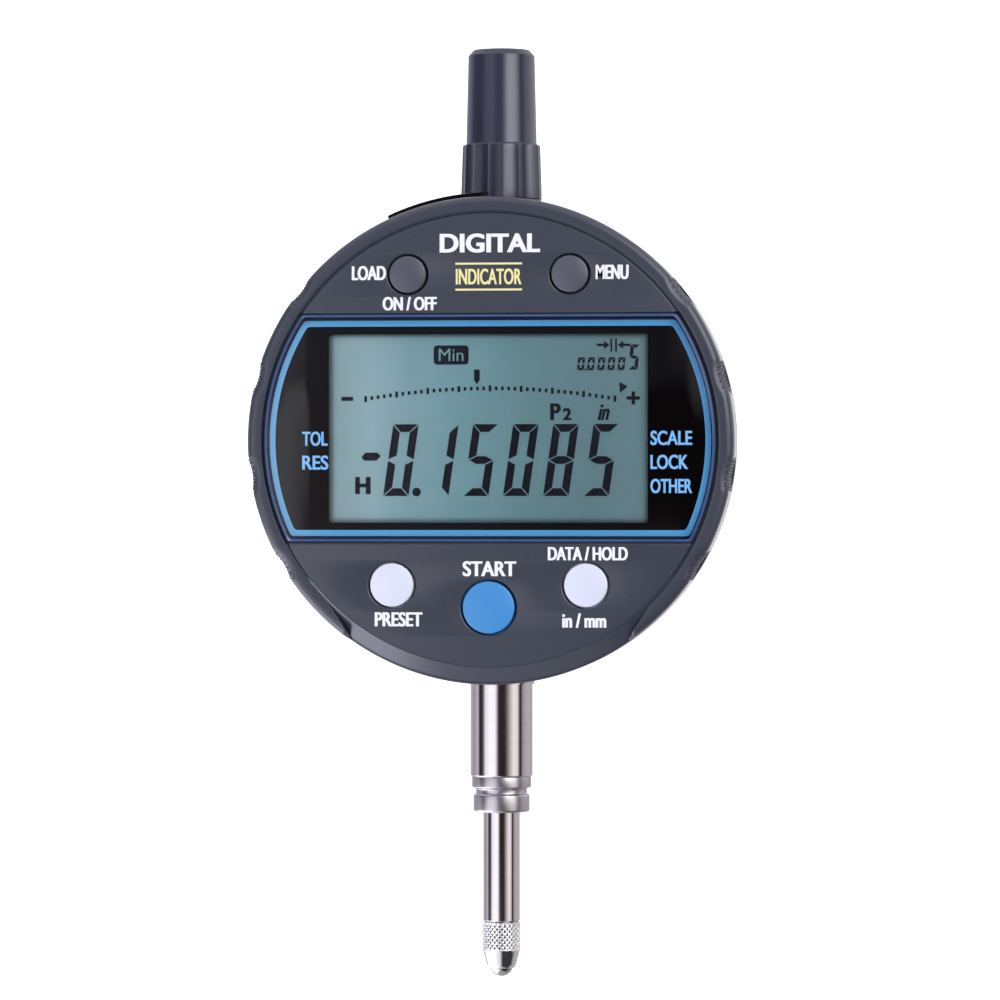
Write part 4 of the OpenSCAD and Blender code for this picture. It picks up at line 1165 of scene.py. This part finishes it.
def spring():
    """The return spring as a plain coil of wire filling the CAD spring's box; the real spring
    hooks to the case below and to the spindle above.
    """
    low, high = box_mm("return_spring")
    x, y = (low.x + high.x) / 2, (low.y + high.y) / 2
    wire = 0.2
    coil_r = (high.x - low.x) / 2 - wire
    turns, per_turn, sides = 26, 24, 8
    rows = []
    for k in range(turns * per_turn + 1):
        a = 2 * math.pi * k / per_turn
        z = mix(low.z + wire, high.z - wire, k / (turns * per_turn))
        out = Vector((math.cos(a), math.sin(a), 0))
        centre = Vector((x, y, z)) + out * coil_r
        rows.append([(centre + out * wire * math.cos(b) + Vector((0, 0, wire * math.sin(b)))) * MM
                     for b in (2 * math.pi * s / sides for s in range(sides))])
    points, faces = skin(rows)
    faces += [tuple(range(sides)), tuple(range(len(points) - sides, len(points)))]
    mesh = new_mesh("return_spring_coil", points, faces)
    tidy_mesh(mesh, 40)
    mesh.materials.append(SLOTS["ground_steel"])
    piece = placed("return_spring_coil", mesh)
    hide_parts("return_spring")
    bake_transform(piece)


def carried_nodes():
    """The CAD nodes that stay as they are take the material of their slot in the record."""
    for row in frame["record"]["subparts"]:
        piece = frame["nodes"][row["node"]]
        if piece.hide_render:
            continue
        piece.data.materials.clear()
        piece.data.materials.append(SLOTS[row["material_slot"]])


# Studio: a pale sweep that only the camera sees, and a soft surround with dark flags
def sweep():
    """A round pale floor that turns up into a far wall, so that it has no horizon."""
    floor = cad_box[0].z - 0.0005
    reach, turn, wall = 1.6, 0.8, 3.2
    profile = [(0.0, floor)] + [(reach * k / 8, floor) for k in range(1, 9)]
    profile += [(reach + turn * math.sin(a), floor + turn * (1 - math.cos(a)))
                for a in (math.radians(9 * k) for k in range(1, 11))]
    profile.append((reach + turn, floor + wall))
    points, faces = lathe(profile, lambda r, a, h: Vector((r * math.cos(a), r * math.sin(a), h)),
                          segments=128)
    mesh = new_mesh("sweep", points, faces)
    for face in mesh.polygons:
        face.use_smooth = True
    piece = placed("sweep", mesh)
    material = surface("sweep", (0.93, 0.93, 0.94), 0.8, 0.005, 0.05, 3, 60, 0.0)
    tree, shader, _ = base_color(material)
    feed(tree, shader, {"Emission Color": (1, 1, 1, 1), "Emission Strength": 0.45})
    mesh.materials.append(material)
    piece.visible_diffuse = False
    piece.visible_glossy = False
    piece.visible_transmission = False
    piece.visible_shadow = False


VIEW_AZIMUTH = 6
LOW_SURROUND = [
    (-180, (0.95, 0.94, 0.97)), (-165, (0.80, 0.78, 0.82)), (-150, (0.58, 0.56, 0.60)),
    (-121, (0.42, 0.38, 0.42)), (-101, (0.65, 0.60, 0.65)), (-95, (0.60, 0.56, 0.60)),
    (-91, (0.03, 0.03, 0.04)), (-76, (0.03, 0.03, 0.04)), (-70, (0.25, 0.24, 0.26)),
    (-62, (1.15, 1.10, 1.18)), (-45, (1.40, 1.38, 1.45)), (-26, (1.40, 1.38, 1.45)),
    (-19, (0.90, 0.86, 0.90)), (-15, (0.26, 0.22, 0.24)), (-11, (0.07, 0.05, 0.05)),
    (-7, (0.03, 0.02, 0.02)),
    (12, (0.02, 0.015, 0.015)), (20, (0.15, 0.13, 0.12)), (33, (0.65, 0.60, 0.58)),
    (45, (1.15, 1.10, 1.06)), (60, (1.05, 0.98, 0.97)), (66, (0.60, 0.55, 0.54)),
    (70, (0.03, 0.03, 0.03)), (78, (0.03, 0.03, 0.03)), (84, (0.40, 0.37, 0.39)),
    (101, (0.58, 0.53, 0.58)), (121, (0.62, 0.56, 0.62)), (150, (0.48, 0.45, 0.48)),
    (168, (0.80, 0.78, 0.82))]
HIGH_SURROUND = [
    (-180, (1.00, 1.00, 1.02)), (-165, (0.80, 0.80, 0.85)), (-150, (0.60, 0.60, 0.66)),
    (-125, (0.70, 0.70, 0.78)), (-105, (0.10, 0.10, 0.12)), (-68, (0.05, 0.05, 0.06)),
    (-56, (0.60, 0.58, 0.68)), (-30, (0.75, 0.72, 0.85)), (-18, (0.20, 0.20, 0.24)),
    (2, (0.14, 0.14, 0.17)), (11, (1.40, 1.40, 1.55)), (20, (4.60, 4.60, 4.90)),
    (36, (4.60, 4.60, 4.80)), (48, (3.90, 3.90, 4.10)), (60, (1.60, 1.60, 1.65)),
    (66, (0.05, 0.05, 0.05)), (76, (0.05, 0.05, 0.05)), (86, (0.90, 0.90, 0.95)),
    (120, (1.20, 1.20, 1.25)), (150, (0.80, 0.80, 0.85))]
BELOW_SURROUND = [
    (-180, (0.60, 0.60, 0.62)), (-140, (1.20, 1.20, 1.30)), (-110, (3.60, 3.60, 4.10)),
    (-60, (3.60, 3.60, 4.10)), (-40, (1.10, 1.10, 1.20)), (-12, (0.90, 0.90, 0.98)),
    (6, (0.05, 0.05, 0.06)), (80, (0.04, 0.04, 0.05)), (100, (0.45, 0.42, 0.45)),
    (160, (0.60, 0.58, 0.60))]
CEILING = (1.0, 1.0, 1.05, 1)
GROUND = (0.6, 0.6, 0.64, 1)


def around_view(tree, share, stops, name):
    """A ring of light by azimuth, from stops of (degrees from the view, colour)."""
    made = node(tree, "ValToRGB", {0: share}, name=name)
    fill_ramp(made.color_ramp, [((angle + 180) / 360, color) for angle, color in stops])
    return made.outputs["Color"]


def studio():
    """A surround seen only in the object's shine and shade: pale cloths and softboxes with
    dark gaps between them, a bright softbox high on the right and a pale floor and ceiling."""
    world = bpy.data.worlds.new("studio")
    bpy.context.scene.world = world
    world.use_nodes = True
    tree = world.node_tree
    direction = node(tree, "TexCoord").outputs["Generated"]
    parts = node(tree, "SeparateXYZ", {0: direction}).outputs
    azimuth = computed(tree, "ARCTAN2", parts["X"], computed(tree, "MULTIPLY", parts["Y"], -1))
    turn = math.radians(VIEW_AZIMUTH)
    share = spread(tree, azimuth, 0, 1, turn - math.pi, turn + math.pi, clamp=False)
    wrap = computed(tree, "FRACT", share)

    def over(under, upper, start, end):
        """Fades from under to upper as the direction's height goes from start to end."""
        fade = spread(tree, parts["Z"], 0, 1, start, end, "SMOOTHSTEP")
        return blended(tree, fade, under, upper)

    low = around_view(tree, wrap, LOW_SURROUND, "low")
    high = around_view(tree, wrap, HIGH_SURROUND, "high")
    below = around_view(tree, wrap, BELOW_SURROUND, "below")
    light = over(low, high, 0.03, 0.09)
    light = over(light, CEILING, 0.5, 0.8)
    light = over(light, below, -0.2, -0.45)
    light = over(light, GROUND, -0.85, -0.95)
    feed(tree, tree.nodes["Background"], {"Color": light})


CAMERA_DISTANCE = 620
CAMERA_TARGET = Vector((-0.2, 0, 29.45))


def camera():
    lens = bpy.data.cameras.new("camera")
    lens.lens = 174
    lens.sensor_width = 36
    lens.clip_start = 0.01
    holder = placed("camera", lens)
    a = math.radians(VIEW_AZIMUTH)
    back = Vector((math.sin(a), -math.cos(a), 0))
    holder.location = (CAMERA_TARGET + back * CAMERA_DISTANCE) * MM
    holder.rotation_mode = "QUATERNION"
    holder.rotation_quaternion = (-back).to_track_quat("-Z", "Y")
    bpy.context.scene.camera = holder
    bpy.context.scene.view_settings.view_transform = "Standard"


front_case()
window_lens()
window_mask()
display_cell()
display_segments()
lettering()
buttons()
stem_parts()
contact_holder()
contact_ball()
spindle()
spindle_cap()
eased("rear_case_shell", "rear_case", "case", "back_plastic", 0.3)
eased("lug_back_plate", "lug_back", "case", "back_plastic", 0.3)
eased("display_back_plate", "display_back", "display", "back_plastic", 0.12)
eased("back_screw_set", "back_screws", "case", "steel_parts", 0.08)
eased("battery_drawer_shell", "battery_drawer", "drawer", "gloss_black", 0.15)
eased("port_cap_plug", "port_cap", "port_plug", "back_plastic", 0.15)
spring()
carried_nodes()
sweep()
studio()
camera()
